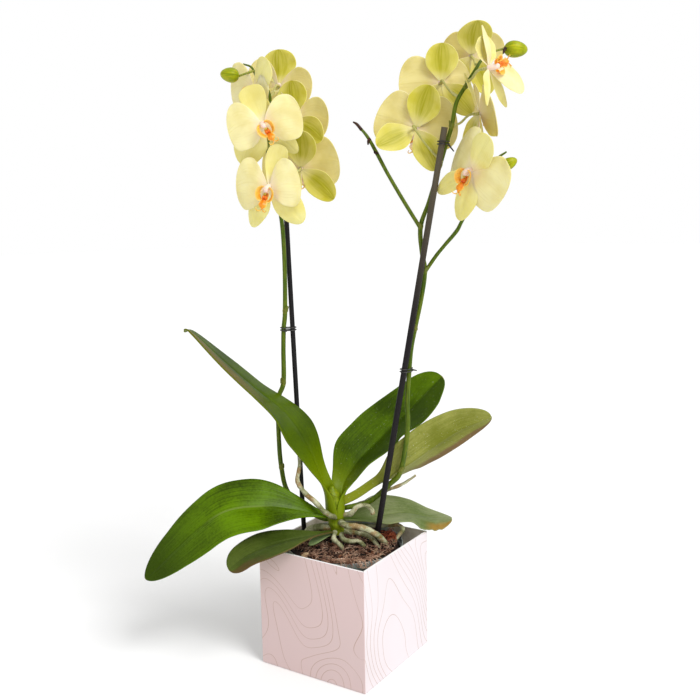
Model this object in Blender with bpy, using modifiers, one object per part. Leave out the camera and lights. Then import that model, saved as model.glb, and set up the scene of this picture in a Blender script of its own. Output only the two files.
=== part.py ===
"""A moth orchid with two flower spikes on stakes, in a nursery pot inside a square card planter.

The origin is the middle of the planter's underside, and the planter's sides are along X and Y.
The plant has its own frame, in millimetres, turned a little about the planter's middle:
x runs left to right across the plant, y runs from its front to its back and z runs up.
"""
import math

import bmesh
import bpy
from mathutils import Matrix, Vector

# ---------------------------------------------------------------- driving dimensions, metres
GAP = 0.0003                # clearance between pieces that touch
BOX_SIDE = 0.130
BOX_WALL = 0.002
BOX_EDGE = 0.0008           # soft fold along the card's edges
POT_TOP_RADIUS = 0.0605
POT_BASE_RADIUS = 0.046
POT_WALL = 0.0010
POT_RIM = 0.0012            # how far the rim stands out
POT_TOP = 0.1265
POT_DRAIN_RADIUS = 0.006
MIX_EDGE = 0.115            # height of the potting mix at the pot's wall
MIX_MIDDLE = 0.1205         # and at the pot's middle
LEAF_THICKNESS = 0.0018
TEPAL_THICKNESS = 0.0008
STAKE_DEPTH = 0.060         # how deep the stakes stand in the mix

PLANT_TURN = math.radians(33)
MM = 0.001
PLANT = Matrix.Rotation(PLANT_TURN, 4, "Z") @ Matrix.Scale(MM, 4)

# ---------------------------------------------------------------- routes in the plant frame, mm
CROWN_ROUTE = [(-7, 5, 134), (-8, 5, 145), (-10, 5, 160), (-11, 5, 174), (-11, 5, 184)]
CROWN_RADII = [5.5, 8.5, 9.0, 8.0, 5.5]

LEFT_SPIKE_ROUTE = [
    (-12, 7, 150), (-25, 9, 151), (-44, 14, 161), (-61, 20, 178), (-67, 25, 203), (-69, 28, 233), (-69, 35, 275),
    (-63, 37, 294), (-63, 37, 330), (-61, 37, 353), (-59, 36, 372), (-58, 34, 426), (-60, 32, 471),
    (-67, 32, 499), (-72, 33, 534), (-68, 34, 592), (-79, 33, 607), (-85, 32, 621), (-94, 31, 625),
]
LEFT_SPIKE_RADII = [
    2.8, 2.7, 2.6, 2.6, 2.5, 2.4, 2.3, 2.5, 2.3, 2.2, 2.3, 2.1, 2.0, 1.9, 1.8, 1.5, 1.3, 1.0, 0.6,
]
RIGHT_SPIKE_ROUTE = [
    (1, 8, 162), (26, 10, 167), (49, 6, 188), (61, 3, 204), (68, -2, 249), (68, -2, 281), (70, -3, 311),
    (72, -4, 335), (76, -5, 357), (83, -7, 391), (86, -8, 417), (83, -9, 437), (82, -9, 461),
    (90, -11, 485), (101, -13, 521), (107, -16, 542), (112, -17, 558), (115, -16, 580),
    (122, -14, 594), (134, -10, 612), (140, -6, 622), (148, -3, 628),
]
RIGHT_SPIKE_RADII = [
    2.8, 2.8, 2.7, 2.7, 2.6, 2.5, 2.5, 2.4, 2.4, 2.3, 2.5, 2.2, 2.4, 1.9, 1.9, 1.9, 1.9, 1.7, 1.5,
    1.4, 1.2, 1.0,
]
LEFT_BRANCH_ROUTE = [(82, -9, 459), (65, -7, 487), (50, -5, 513), (39, -4, 534), (30, -3, 550), (20, -2, 562)]
LEFT_BRANCH_RADII = [1.9, 1.8, 1.7, 1.8, 1.3, 0.8]
RIGHT_BRANCH_ROUTE = [
    (86, -8, 415), (97, -9, 431), (106, -9, 442), (118, -9, 456), (124, -9, 467), (141, -9, 496),
    (156, -9, 524), (167, -9, 533),
]
RIGHT_BRANCH_RADII = [1.9, 1.8, 1.8, 2.0, 1.7, 1.5, 1.3, 0.8]

LEFT_STAKE = dict(foot=(-44, 25, 120), top=(-55.5, 46, 470), radius=2.6)
RIGHT_STAKE = dict(foot=(33, 4, 120), top=(104.5, -23.2, 557), radius=3.1)

# Each leaf: its midrib, how far the blade rolls about it along the way, in degrees, its widest
# half-width and the stalk's, the shares of its length at which the stalk ends and the blade is
# widest, and the keel's fold, base to tip.
LEAVES = {
    "leaf_upper_left": dict(
        route=[(-15, 3, 172), (-21, 3, 192), (-33, 4, 223), (-45, 5, 247), (-62, 6, 270),
               (-89, 7, 293), (-124, 9, 325), (-157, 10, 356)],
        roll=[-30, -25, -28, -30, -15, -5, 0, 5], half=27, stalk=8, narrow=0, belly=0.41, fold=(5, 2)),
    "leaf_lower_left": dict(
        route=[(-12, 1, 152), (-27, -8, 160), (-56, -16, 170), (-86, -21, 175), (-118, -27, 174),
               (-142, -31, 162), (-173, -36, 136), (-206, -40, 105)],
        roll=[-15, -20, -30, -40, -40, -35, -37, -50], half=33, stalk=4, narrow=0.02, belly=0.41, fold=(14, 0)),
    "leaf_small_left": dict(
        route=[(-12, -1, 144), (-28, -23, 143), (-56, -38, 144), (-82, -48, 140), (-101, -54, 133),
               (-115, -60, 122)],
        roll=[-10, -10, -15, -18, -18, -28], half=20.5, stalk=4, narrow=0.05, belly=0.71, fold=(0, 8)),
    "leaf_upper_right": dict(
        route=[(-5, 12, 168), (-1, 18, 185), (16, 27, 207), (35, 37, 224), (52, 43, 240),
               (73, 44, 259), (93, 45, 281), (108, 45, 296)],
        roll=[17, 13, 17, 23, 29, 44, 57, 51], half=34.8, stalk=7, narrow=0, belly=0.29, fold=(33, 12)),
    "leaf_right": dict(
        route=[(-3, 6, 165), (15, 8, 173), (35, 8, 187), (53, 9, 199), (71, 12, 210),
               (94, 16, 225), (125, 19, 244), (159, 20, 257)],
        roll=[-45, -53, -66, -70, -58, -62, -66, -62], half=31, stalk=6, narrow=0.25, belly=0.5, fold=(25, 12)),
    "leaf_lower_right": dict(
        route=[(-4, 9, 148), (14, 22, 144), (39, 32, 143), (68, 35, 145), (94, 37, 139), (119, 37, 137)],
        roll=[26, 25, 21, 9, 5, 5], half=29, stalk=6, narrow=0.05, belly=0.45, fold=(41, -10)),
    "leaf_scale": dict(
        route=[(-13, 5, 134), (-21, -3, 135), (-28, -13, 135), (-37, -24, 133)],
        roll=[-10, -10, -15, -20], half=5, stalk=3, narrow=0, belly=0.5, fold=(10, 5)),
}

# Each root: its route and its radius, mm. All spring from the crown, and most end in the mix.
ROOTS = {
    "root_left_aerial": dict(radius=3.0, route=[
        (-9, -3, 156), (-14, -11, 160), (-21, -13, 166), (-28, -12, 174), (-40, -8, 184),
        (-48, -5, 196), (-46, -4, 212), (-45, -4, 225)]),
    "root_front_long": dict(radius=3.6, route=[
        (-8, 3, 151), (2, -8, 148), (14, -9, 147), (29, -9, 141), (40, -6, 131), (46, -1, 119), (47, 0, 111)]),
    "root_front_left": dict(radius=2.9, route=[
        (-9, 2, 140), (-11, -6, 136), (-11, -10, 134), (-7, -10, 129), (-1, -9, 121), (0, -8, 110)]),
    "root_front_right": dict(radius=2.8, route=[
        (-6, 3, 140), (-1, -3, 131), (7, -5, 129), (15, -5, 129), (22, -5, 122), (25, -5, 111)]),
    "root_right_arch": dict(radius=2.9, route=[
        (-4, 7, 137), (6.5, 5, 136), (16, 3, 134.5), (24, -1, 133.5), (31, -4, 129.5), (35.5, -4, 123),
        (38, -4, 116), (38, -4, 110)]),
    "root_right_loop": dict(radius=2.9, route=[
        (-4, 3, 156), (6, -1, 158), (10, -2, 162), (15, -2, 167), (23, -2, 168), (29, -2, 164), (31, -2, 158)]),
    "root_right_back": dict(radius=2.4, route=[
        (-4, 12, 143), (20, 20, 137), (44, 20, 137), (58, 15.5, 139), (63, 11, 136), (60, 9, 131.5),
        (56, 7, 127), (52, 6, 120), (50, 4, 110)]),
    "root_left_back": dict(radius=4.0, route=[
        (-10, 5, 141), (-26, 5, 142), (-38, 10, 137), (-46, 13, 126), (-47, 14, 112)]),
    "root_dry_aerial": dict(radius=2.4, route=[
        (-6, 10, 160), (10, 20, 160), (30, 21, 167), (48, 20, 177), (63, 20, 183), (78, 20, 193)]),
    "root_back": dict(radius=3.2, route=[(-10, 10, 142), (-16, 22, 138), (-20, 32, 128), (-21, 36, 112)]),
}

# Each tepal: where it points round the flower and how far it leans back, in degrees, then its
# length, half-width, the part of its length at which it is widest, and its cupping, in mm.
TEPALS = {
    "dorsal": dict(spread=90, lean=5, length=42, half=16.5, belly=0.52, cup=2.5),
    "petal_right": dict(spread=8, lean=3, length=41, half=24, belly=0.55, cup=1.5),
    "petal_left": dict(spread=172, lean=3, length=41, half=24, belly=0.55, cup=1.5),
    "lateral_right": dict(spread=-56, lean=8, length=45, half=13.5, belly=0.5, cup=2.0),
    "lateral_left": dict(spread=-124, lean=8, length=45, half=13.5, belly=0.5, cup=2.0),
}

# Each flower: the middle of its face, where its stalk leaves the spike, the way it faces (0 is to
# the plant's front, 90 to its right), how far it tilts up, how it is rolled, its size, and the
# tepals that are set at their own spread and lean.
FLOWERS = {
    "left_1": dict(centre=(-72, -12, 563), stalk=(-72, 34, 540), face=1, tilt=-1, roll=-12, size=0.98, own=dict(
        dorsal=(94, 10), petal_left=(177, 20), petal_right=(6, 4), lateral_left=(-136, 1),
        lateral_right=(-53, 16))),
    "left_2": dict(centre=(-68, -16, 502), stalk=(-65, 32, 492), face=-31, tilt=-3, roll=2, size=1.05, own=dict(
        dorsal=(79, 14), petal_left=(177, 8), petal_right=(12, -5), lateral_left=(-124, 12),
        lateral_right=(-50, 15))),
    "left_3": dict(centre=(-39, 42, 520), stalk=(-68, 33, 509), face=170, tilt=6, roll=2, size=1.03, own=dict(
        dorsal=(99, 18), petal_left=(171, -5), lateral_left=(-136, 4))),
    "left_4": dict(centre=(-45, 50, 571), stalk=(-70, 34, 562), face=165, tilt=-6, roll=4, size=0.95, own=dict(
        dorsal=(89, -4), petal_left=(184, 3), lateral_left=(-141, 14))),
    "left_5": dict(centre=(-62, 84, 607), stalk=(-68, 34, 592), face=168, tilt=-5, roll=-1, size=0.94, own=dict(
        dorsal=(85, -11), petal_left=(179, 8))),
    "left_6": dict(centre=(-82, 20, 599), stalk=(-77, 33, 604), face=-53, tilt=-3, roll=18, size=0.95, own=dict(
        dorsal=(67, -1), petal_left=(190, -6))),
    "right_1": dict(centre=(105, 18, 602), stalk=(118, -15, 586), face=181, tilt=-11, roll=4, size=0.99, own=dict(
        dorsal=(93, -8), petal_right=(11, 1), petal_left=(160, -8), lateral_left=(-126, 11))),
    "right_2": dict(centre=(78, 1, 557), stalk=(101, -12.5, 526), face=167, tilt=-12, roll=-12, size=1.05, own=dict(
        dorsal=(98, 9), petal_right=(14, 8), petal_left=(154, -6), lateral_right=(-46, 32),
        lateral_left=(-130, 2))),
    "right_3": dict(centre=(139, 50, 631), stalk=(137, -7.5, 617), face=189, tilt=21, roll=-3, size=0.96, own=dict(
        dorsal=(86, 22), petal_right=(26, -20), petal_left=(155, -2))),
    "right_4": dict(centre=(144, -42, 610), stalk=(126, -13, 600), face=60, tilt=5, roll=11, size=1.04, own=dict(
        dorsal=(89, 4), petal_right=(-15, -29), petal_left=(168, -18), lateral_right=(-31, -5),
        lateral_left=(-123, -10))),
    "right_5": dict(centre=(140, -10, 570), stalk=(112, -17, 558), face=90, tilt=3, roll=-6, size=0.99, own=dict(
        dorsal=(84, 11), petal_left=(181, 0), petal_right=(-4, -10), lateral_left=(-123, 6))),
    "right_6": dict(centre=(127, -50, 515), stalk=(135, -9, 486), face=-44, tilt=0, roll=36, size=1.06, own=dict(
        dorsal=(82, -18), petal_left=(158, 17), petal_right=(10, 10), lateral_left=(-120, 4),
        lateral_right=(-60, -3))),
}

# Each bud: where its stalk leaves the spike, the foot and the tip of the bud, and its radius, mm.
BUDS = {
    "left": dict(stalk=(-84, 31, 618), foot=(-98, 10, 611), tip=(-117, 8, 613), radius=7.0),
    "right_top": dict(stalk=(148.6, -2.8, 628.4), foot=(166, 2, 631), tip=(188, 4, 630), radius=8.0),
    "right_low": dict(stalk=(154, -9, 520), foot=(163, -17, 514), tip=(177, -19, 526), radius=5.5),
}

# Each clip: which stake and spike it holds together, and its height, mm.
CLIPS = {
    "clip_left": dict(stake=LEFT_STAKE, route=LEFT_SPIKE_ROUTE, radii=LEFT_SPIKE_RADII, height=351),
    "clip_right_low": dict(stake=RIGHT_STAKE, route=RIGHT_SPIKE_ROUTE, radii=RIGHT_SPIKE_RADII, height=313),
    "clip_right_top": dict(stake=RIGHT_STAKE, route=RIGHT_SPIKE_ROUTE, radii=RIGHT_SPIKE_RADII, height=541),
}
CLIP_RADIUS = 0.9
CLIP_SLACK = 0.4
CLIP_TAIL = Vector((6, 0, -1))      # out past the spike and a little down

FLOWER_CORE_RADIUS = 4.0
COLUMN_LENGTH = 9.0
COLUMN_RADIUS = 3.0
BUD_STALK_RADIUS = 1.1

parts = None
helpers = None


# ---------------------------------------------------------------- small helpers
def at(point):
    """World place of a point of the plant frame."""
    return PLANT @ Vector(point)


def material(name, colour, roughness=0.6, metallic=0.0):
    found = bpy.data.materials.get(name)
    if found:
        return found
    made = bpy.data.materials.new(name)
    made.use_nodes = True
    shader = made.node_tree.nodes["Principled BSDF"]
    shader.inputs["Base Color"].default_value = (*colour, 1.0)
    shader.inputs["Roughness"].default_value = roughness
    shader.inputs["Metallic"].default_value = metallic
    return made


def add_object(name, mesh, finish, collection):
    made = bpy.data.objects.new(name, mesh)
    collection.objects.link(made)
    if finish:
        mesh.materials.append(finish)
    if collection is helpers:
        made.hide_render = True
        made.display_type = "WIRE"
    return made


def object_from(bm, name, finish, collection):
    mesh = bpy.data.meshes.new(name)
    bm.to_mesh(mesh)
    bm.free()
    mesh.shade_smooth()
    mesh.set_sharp_from_angle(angle=math.radians(40))
    return add_object(name, mesh, finish, collection)


def evaluated_mesh(obj, name):
    """A welded copy of an object's shape, modifiers and all."""
    bpy.context.view_layer.update()
    graph = bpy.context.evaluated_depsgraph_get()
    mesh = bpy.data.meshes.new_from_object(obj.evaluated_get(graph))
    mesh.name = name
    bm = bmesh.new()
    bm.from_mesh(mesh)
    bmesh.ops.remove_doubles(bm, verts=bm.verts, dist=1e-6)
    bmesh.ops.recalc_face_normals(bm, faces=bm.faces)
    bm.to_mesh(mesh)
    bm.free()
    return mesh


def made_solid(curve_object, finish, collection):
    """Turns a bevelled curve into a closed mesh object of the same name."""
    name = curve_object.name
    place = curve_object.matrix_world.copy()
    mesh = evaluated_mesh(curve_object, name)
    data = curve_object.data
    bpy.data.objects.remove(curve_object)
    bpy.data.curves.remove(data)
    mesh.materials.clear()
    solid = add_object(name, mesh, finish, collection)
    solid.matrix_world = place
    return solid


def smooth(points, count):
    """Points at even steps along a smooth curve through the given ones, numbers of any size."""
    rows = [Vector(point) for point in points]
    rows = [2 * rows[0] - rows[1]] + rows + [2 * rows[-1] - rows[-2]]
    last = len(rows) - 3
    found = []
    for step in range(count):
        along = last * step / (count - 1)
        index = min(int(along), last - 1)
        t = along - index
        a, b, c, d = rows[index:index + 4]
        found.append(0.5 * (2 * b + (c - a) * t + (2 * a - 5 * b + 4 * c - d) * t ** 2
                            + (3 * b - a - 3 * c + d) * t ** 3))
    return found


def value_along(values, share):
    """A value read between evenly spaced ones, share running from 0 to 1."""
    along = share * (len(values) - 1)
    index = min(int(along), len(values) - 2)
    return values[index] + (along - index) * (values[index + 1] - values[index])


def tube(name, route, radii, count, finish, collection=None, extra=0.0, rings=1, closed=False):
    """A round stem along a smooth route in the plant frame; its radius, in mm, may change."""
    curve = bpy.data.curves.new(name, "CURVE")
    curve.dimensions = "3D"
    curve.bevel_depth = MM
    curve.bevel_resolution = rings
    curve.use_fill_caps = True
    spline = curve.splines.new("POLY")
    spline.points.add(count - 1)
    spline.use_cyclic_u = closed
    for step, point in enumerate(route if closed else smooth(route, count)):
        spline.points[step].co = (*at(point), 1.0)
        spline.points[step].radius = value_along(radii, step / (count - 1)) + extra / MM
    made = bpy.data.objects.new(name, curve)
    target = collection or parts
    target.objects.link(made)
    return made_solid(made, finish, target)


def trim(obj, cutters, solver="EXACT"):
    for cutter in cutters:
        cut = obj.modifiers.new("clear_of_" + cutter.name, "BOOLEAN")
        cut.operation = "DIFFERENCE"
        cut.solver = solver
        cut.object = cutter


def join(obj, others, solver="EXACT"):
    for other in others:
        union = obj.modifiers.new("with_" + other.name, "BOOLEAN")
        union.operation = "UNION"
        union.solver = solver
        union.object = other


# ---------------------------------------------------------------- planter, pot and mix
def planter_box():
    bm = bmesh.new()
    bmesh.ops.create_cube(bm, size=BOX_SIDE, matrix=Matrix.Translation((0, 0, BOX_SIDE / 2)))
    folds = [edge for edge in bm.edges if min(vert.co.z for vert in edge.verts) < BOX_SIDE / 2]
    top = [face for face in bm.faces if face.normal.z > 0.9]
    bmesh.ops.inset_region(bm, faces=top, thickness=BOX_WALL, use_even_offset=True)
    well = bmesh.ops.extrude_discrete_faces(bm, faces=top)["faces"]
    bmesh.ops.translate(bm, verts=well[0].verts, vec=(0, 0, BOX_WALL - BOX_SIDE))
    bmesh.ops.bevel(bm, geom=folds, offset=BOX_EDGE, segments=1, profile=0.5, affect="EDGES")
    object_from(bm, "planter_box", material("card", (0.85, 0.78, 0.79), 0.55), parts)


def turned(name, profile, finish, steps=36):
    """A turned shape from (radius, height) points, which run down its outer side first."""
    bm = bmesh.new()
    points = [bm.verts.new((radius, 0.0, height)) for radius, height in profile]
    for first, second in zip(points, points[1:]):
        bm.edges.new((first, second))
    made = object_from(bm, name, finish, parts)
    screw = made.modifiers.new("turn", "SCREW")
    screw.axis = "Z"
    screw.steps = steps
    screw.render_steps = steps
    screw.use_merge_vertices = True
    screw.merge_threshold = 0.00005
    return made


def pot_radius(height):
    """Outer radius of the nursery pot at a height."""
    share = (height - BOX_WALL) / (POT_TOP - BOX_WALL)
    return POT_BASE_RADIUS + share * (POT_TOP_RADIUS - POT_BASE_RADIUS)


def nursery_pot():
    foot = BOX_WALL + GAP
    floor = foot + POT_WALL
    rim_foot = POT_TOP - 0.006
    profile = [
        (POT_TOP_RADIUS - POT_WALL, POT_TOP),
        (POT_TOP_RADIUS + POT_RIM, POT_TOP),
        (POT_TOP_RADIUS + POT_RIM, rim_foot),
        (pot_radius(rim_foot), rim_foot),
        (POT_BASE_RADIUS, foot),
        (POT_DRAIN_RADIUS, foot),
        (POT_DRAIN_RADIUS, floor),
        (POT_BASE_RADIUS - POT_WALL, floor),
        (POT_TOP_RADIUS - POT_WALL, POT_TOP),
    ]
    turned("nursery_pot", profile, material("pot_plastic", (0.42, 0.46, 0.44), 0.35))


def potting_mix(cutters):
    foot = BOX_WALL + GAP + POT_WALL + GAP
    inset = POT_WALL + GAP
    edge = pot_radius(MIX_EDGE) - inset
    rise = MIX_MIDDLE - MIX_EDGE
    profile = [
        (0.0, MIX_MIDDLE),
        (0.4 * edge, MIX_MIDDLE - 0.16 * rise),
        (0.75 * edge, MIX_MIDDLE - 0.56 * rise),
        (edge, MIX_EDGE),
        (POT_BASE_RADIUS - inset, foot),
        (0.0, foot),
    ]
    mix = turned("potting_mix", profile, material("bark_mix", (0.16, 0.09, 0.06), 0.9))
    trim(mix, cutters)


# ---------------------------------------------------------------- crown, leaves and roots
def crown():
    finish = material("stem_green", (0.17, 0.26, 0.02), 0.5)
    tube("crown", CROWN_ROUTE, CROWN_RADII, 9, finish, rings=3)
    longer = [Vector(CROWN_ROUTE[0]) - Vector((0, 0, 0.3)), *CROWN_ROUTE[1:-1],
              Vector(CROWN_ROUTE[-1]) + Vector((0, 0, 0.3))]
    return tube("crown_room", longer, CROWN_RADII, 9, None, helpers, extra=GAP, rings=3)


def leaf_half_width(share, leaf):
    """Half-width along a leaf: a stalk that opens into the blade, and a round tip."""
    rise = (share - leaf["narrow"]) / (leaf["belly"] - leaf["narrow"])
    rise = min(max(rise, 0.0), 1.0)
    opened = leaf["stalk"] + (leaf["half"] - leaf["stalk"]) * rise * rise * (3 - 2 * rise)
    past = max(share - leaf["belly"], 0.0) / (1 - leaf["belly"])
    return opened * math.sqrt(max(1 - past ** 2.3, 0.0))


def leaf_blade(leaf, rows, columns=4):
    """A grid laid along the midrib, row by row, rolled about it and folded at the keel."""
    bm = bmesh.new()
    bmesh.ops.create_grid(bm, x_segments=columns, y_segments=rows, size=0.5)
    last = 8 * rows
    rib = smooth(leaf["route"], last + 1)
    travel = [0.0]
    for here, there in zip(rib, rib[1:]):
        travel.append(travel[-1] + (there - here).length)
    for vert in bm.verts:
        step = round((vert.co.y + 0.5) * last)
        side = 2 * vert.co.x
        share = travel[step] / travel[last]
        ahead = rib[min(step + 1, last)] - rib[max(step - 1, 0)]
        ahead.normalize()
        across = Vector((0, 0, 1)).cross(ahead).normalized()
        roll = math.radians(value_along(leaf["roll"], step / last))
        across.rotate(Matrix.Rotation(roll, 3, ahead))
        up = ahead.cross(across)
        fold = math.radians(value_along(leaf["fold"], share))
        half = leaf_half_width(share, leaf)
        vert.co = at(rib[step] + half * (math.cos(fold) * side * across + math.sin(fold) * abs(side) * up))
    bmesh.ops.remove_doubles(bm, verts=bm.verts, dist=2e-5)
    return bm


def leaves(crown_room):
    green = material("leaf_green", (0.07, 0.13, 0.01), 0.45)
    for name, leaf in LEAVES.items():
        rows = 8 if name == "leaf_scale" else 14
        bm = leaf_blade(leaf, rows)
        made = object_from(bm, name, green, parts)
        body = made.modifiers.new("thickness", "SOLIDIFY")
        body.thickness = LEAF_THICKNESS
        body.offset = 0.0
        trim(made, [crown_room])


def roots(crown_room):
    """The roots, and the room that those that end in the mix need there."""
    finish = material("root_silver", (0.40, 0.38, 0.27), 0.8)
    rooms = []
    for name, root in ROOTS.items():
        tip = 0.55 if name.endswith("aerial") else 0.9
        radii = [root["radius"], root["radius"], tip * root["radius"]]
        count = 2 * len(root["route"]) + 1
        made = tube(name, root["route"], radii, count, finish)
        trim(made, [crown_room])
        if not name.endswith("aerial"):
            rooms.append(tube(name + "_room", root["route"], radii, count, None, helpers, extra=GAP))
    return rooms


# ---------------------------------------------------------------- stakes, spikes and clips
def rod(name, foot, top, radius, finish, collection):
    """A straight round rod between two world points."""
    run = top - foot
    bm = bmesh.new()
    bmesh.ops.create_cone(bm, cap_ends=True, segments=10, radius1=radius, radius2=radius, depth=run.length)
    made = object_from(bm, name, finish, collection)
    made.location = (foot + top) / 2
    made.rotation_euler = run.to_track_quat("Z", "Y").to_euler()
    return made


def stakes():
    finish = material("stake_plastic", (0.02, 0.018, 0.02), 0.4)
    rooms = []
    for name, stake in (("stake_left", LEFT_STAKE), ("stake_right", RIGHT_STAKE)):
        top = at(stake["top"])
        foot = at(stake["foot"])
        down = (foot - top).normalized()
        buried = foot + STAKE_DEPTH * down
        radius = stake["radius"] * MM
        rod(name, buried, top, radius, finish, parts)
        rooms.append(rod(name + "_room", buried + GAP * down, top, radius + GAP, None, helpers))
    return rooms


def spikes(crown_room):
    finish = material("stem_green", (0.17, 0.26, 0.02), 0.5)
    tube("spike_left", LEFT_SPIKE_ROUTE, LEFT_SPIKE_RADII, 30, finish)
    left_room = tube("spike_left_room", LEFT_SPIKE_ROUTE, LEFT_SPIKE_RADII, 30, None, helpers, extra=GAP)
    tube("spike_right", RIGHT_SPIKE_ROUTE, RIGHT_SPIKE_RADII, 36, finish)
    branches = [
        tube("left_branch", LEFT_BRANCH_ROUTE, LEFT_BRANCH_RADII, 9, None, helpers),
        tube("right_branch", RIGHT_BRANCH_ROUTE, RIGHT_BRANCH_RADII, 12, None, helpers),
    ]
    right_rooms = [
        tube("spike_right_room", RIGHT_SPIKE_ROUTE, RIGHT_SPIKE_RADII, 36, None, helpers, extra=GAP),
        tube("right_branch_room", RIGHT_BRANCH_ROUTE, RIGHT_BRANCH_RADII, 12, None, helpers, extra=GAP),
    ]
    left = bpy.data.objects["spike_left"]
    right = bpy.data.objects["spike_right"]
    join(right, branches)
    trim(left, [crown_room])
    trim(right, [crown_room])
    return dict(left=[left_room], right=right_rooms)


def at_height(points, radii, height):
    """The point and the radius at which a rising route reaches a height."""
    for index, (low, high) in enumerate(zip(points, points[1:])):
        if low.z <= height < high.z:
            point = low.lerp(high, (height - low.z) / (high.z - low.z))
            return point, value_along(radii, index / (len(points) - 1))
    raise ValueError("the route doesn't reach this height")


def clips():
    """A plastic loop round the stake and the spike, with a short tail past the spike."""
    finish = material("clip_plastic", (0.03, 0.03, 0.03), 0.4)
    for name, clip in CLIPS.items():
        ends = [Vector(clip["stake"]["foot"]), Vector(clip["stake"]["top"])]
        stake, _ = at_height(ends, [1, 1], clip["height"])
        spike, spike_radius = at_height(smooth(clip["route"], 60), clip["radii"], clip["height"])
        turn = math.atan2(spike.y - stake.y, spike.x - stake.x)
        loop = []
        for middle, radius, start in ((spike, spike_radius, -90), (stake, clip["stake"]["radius"], 90)):
            for step in range(7):
                angle = turn + math.radians(start + 30 * step)
                reach = radius + CLIP_RADIUS + CLIP_SLACK
                loop.append(middle + reach * Vector((math.cos(angle), math.sin(angle), 0)))
        tube(name, loop, [CLIP_RADIUS] * 2, len(loop), finish, rings=0, closed=True)
        aim = Matrix.Rotation(turn, 3, "Z")
        start = spike + aim @ Vector((spike_radius + CLIP_RADIUS + CLIP_SLACK, 0, 0))
        tail = tube(name + "_tail", [start, start + aim @ CLIP_TAIL], [0.8, 0.6], 3, None, helpers, rings=0)
        join(bpy.data.objects[name], [tail])


# ---------------------------------------------------------------- flowers and buds
def flower_frame(flower):
    """The flower's own frame in the world: x to its right, y to its back, z up, in mm."""
    turn = Matrix.Rotation(math.radians(flower["face"]), 4, "Z")
    tilt = Matrix.Rotation(-math.radians(flower["tilt"]), 4, "X")
    roll = Matrix.Rotation(math.radians(flower["roll"]), 4, "Y")
    return PLANT @ Matrix.Translation(flower["centre"]) @ turn @ tilt @ roll


def tepal_half_width(share, tepal):
    """Half-width along a tepal: a narrow claw, a round blade and a blunt tip."""
    belly = tepal["belly"]
    if share < belly:
        rise = share / belly
        return tepal["half"] * (0.12 + 0.88 * math.sin(math.pi / 2 * rise) ** 1.3)
    past = (share - belly) / (1 - belly)
    return tepal["half"] * math.sqrt(max(1 - past ** 2.2, 0.0))


def tepal_blade(name, tepal, frame, size, columns):
    bm = bmesh.new()
    bmesh.ops.create_grid(bm, x_segments=columns, y_segments=5, size=0.5)
    spread = math.radians(tepal["spread"])
    lean = math.radians(tepal["lean"])
    out = Vector((math.cos(spread) * math.cos(lean), math.sin(lean), math.sin(spread) * math.cos(lean)))
    across = Vector((-math.sin(spread), 0.0, math.cos(spread)))
    front = across.cross(out)
    for vert in bm.verts:
        share = vert.co.y + 0.5
        side = 2 * vert.co.x
        half = tepal_half_width(share, tepal)
        cup = tepal["cup"] * (side ** 2 - 1) * math.sin(math.pi * share)
        length = 1.5 + (tepal["length"] - 1.5) * share
        place = size * (out * length + across * half * side + front * cup)
        vert.co = frame @ place
    bmesh.ops.remove_doubles(bm, verts=bm.verts, dist=2e-5)
    made = object_from(bm, name, None, helpers)
    body = made.modifiers.new("thickness", "SOLIDIFY")
    body.thickness = TEPAL_THICKNESS
    body.offset = 0.0
    return made


def flower(name, design, spike_rooms):
    """Five tepals and a stalk that grew as one, then the lip with its column before them."""
    frame = flower_frame(design)
    pieces = []
    for part_name, usual in TEPALS.items():
        tepal = dict(usual)
        if part_name in design["own"]:
            tepal["spread"], tepal["lean"] = design["own"][part_name]
        columns = 4 if part_name.startswith("petal") else 2
        pieces.append(tepal_blade(f"{name}_{part_name}", tepal, frame, design["size"], columns))
    to_plant = PLANT.inverted() @ frame
    back = to_plant @ Vector((0, 2, 0))
    behind = to_plant @ Vector((0, 11, -1))
    stalk_route = [back, behind, (behind + Vector(design["stalk"])) / 2 - Vector((0, 0, 2)), design["stalk"]]
    pieces.append(tube(name + "_stalk", stalk_route, [1.4, 1.2, 1.3], 7, None, helpers))

    bm = bmesh.new()
    bmesh.ops.create_icosphere(bm, subdivisions=1, radius=1.0)
    squash = Matrix.Diagonal((FLOWER_CORE_RADIUS, 2.6, FLOWER_CORE_RADIUS, 1.0))
    bmesh.ops.transform(bm, matrix=frame @ squash, verts=bm.verts)
    perianth = object_from(bm, "flower_" + name, material("petal_cream", (0.83, 0.76, 0.36), 0.5), parts)
    join(perianth, pieces, "MANIFOLD")
    trim(perianth, spike_rooms, "MANIFOLD")
    lip(name, frame, design["size"])


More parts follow.
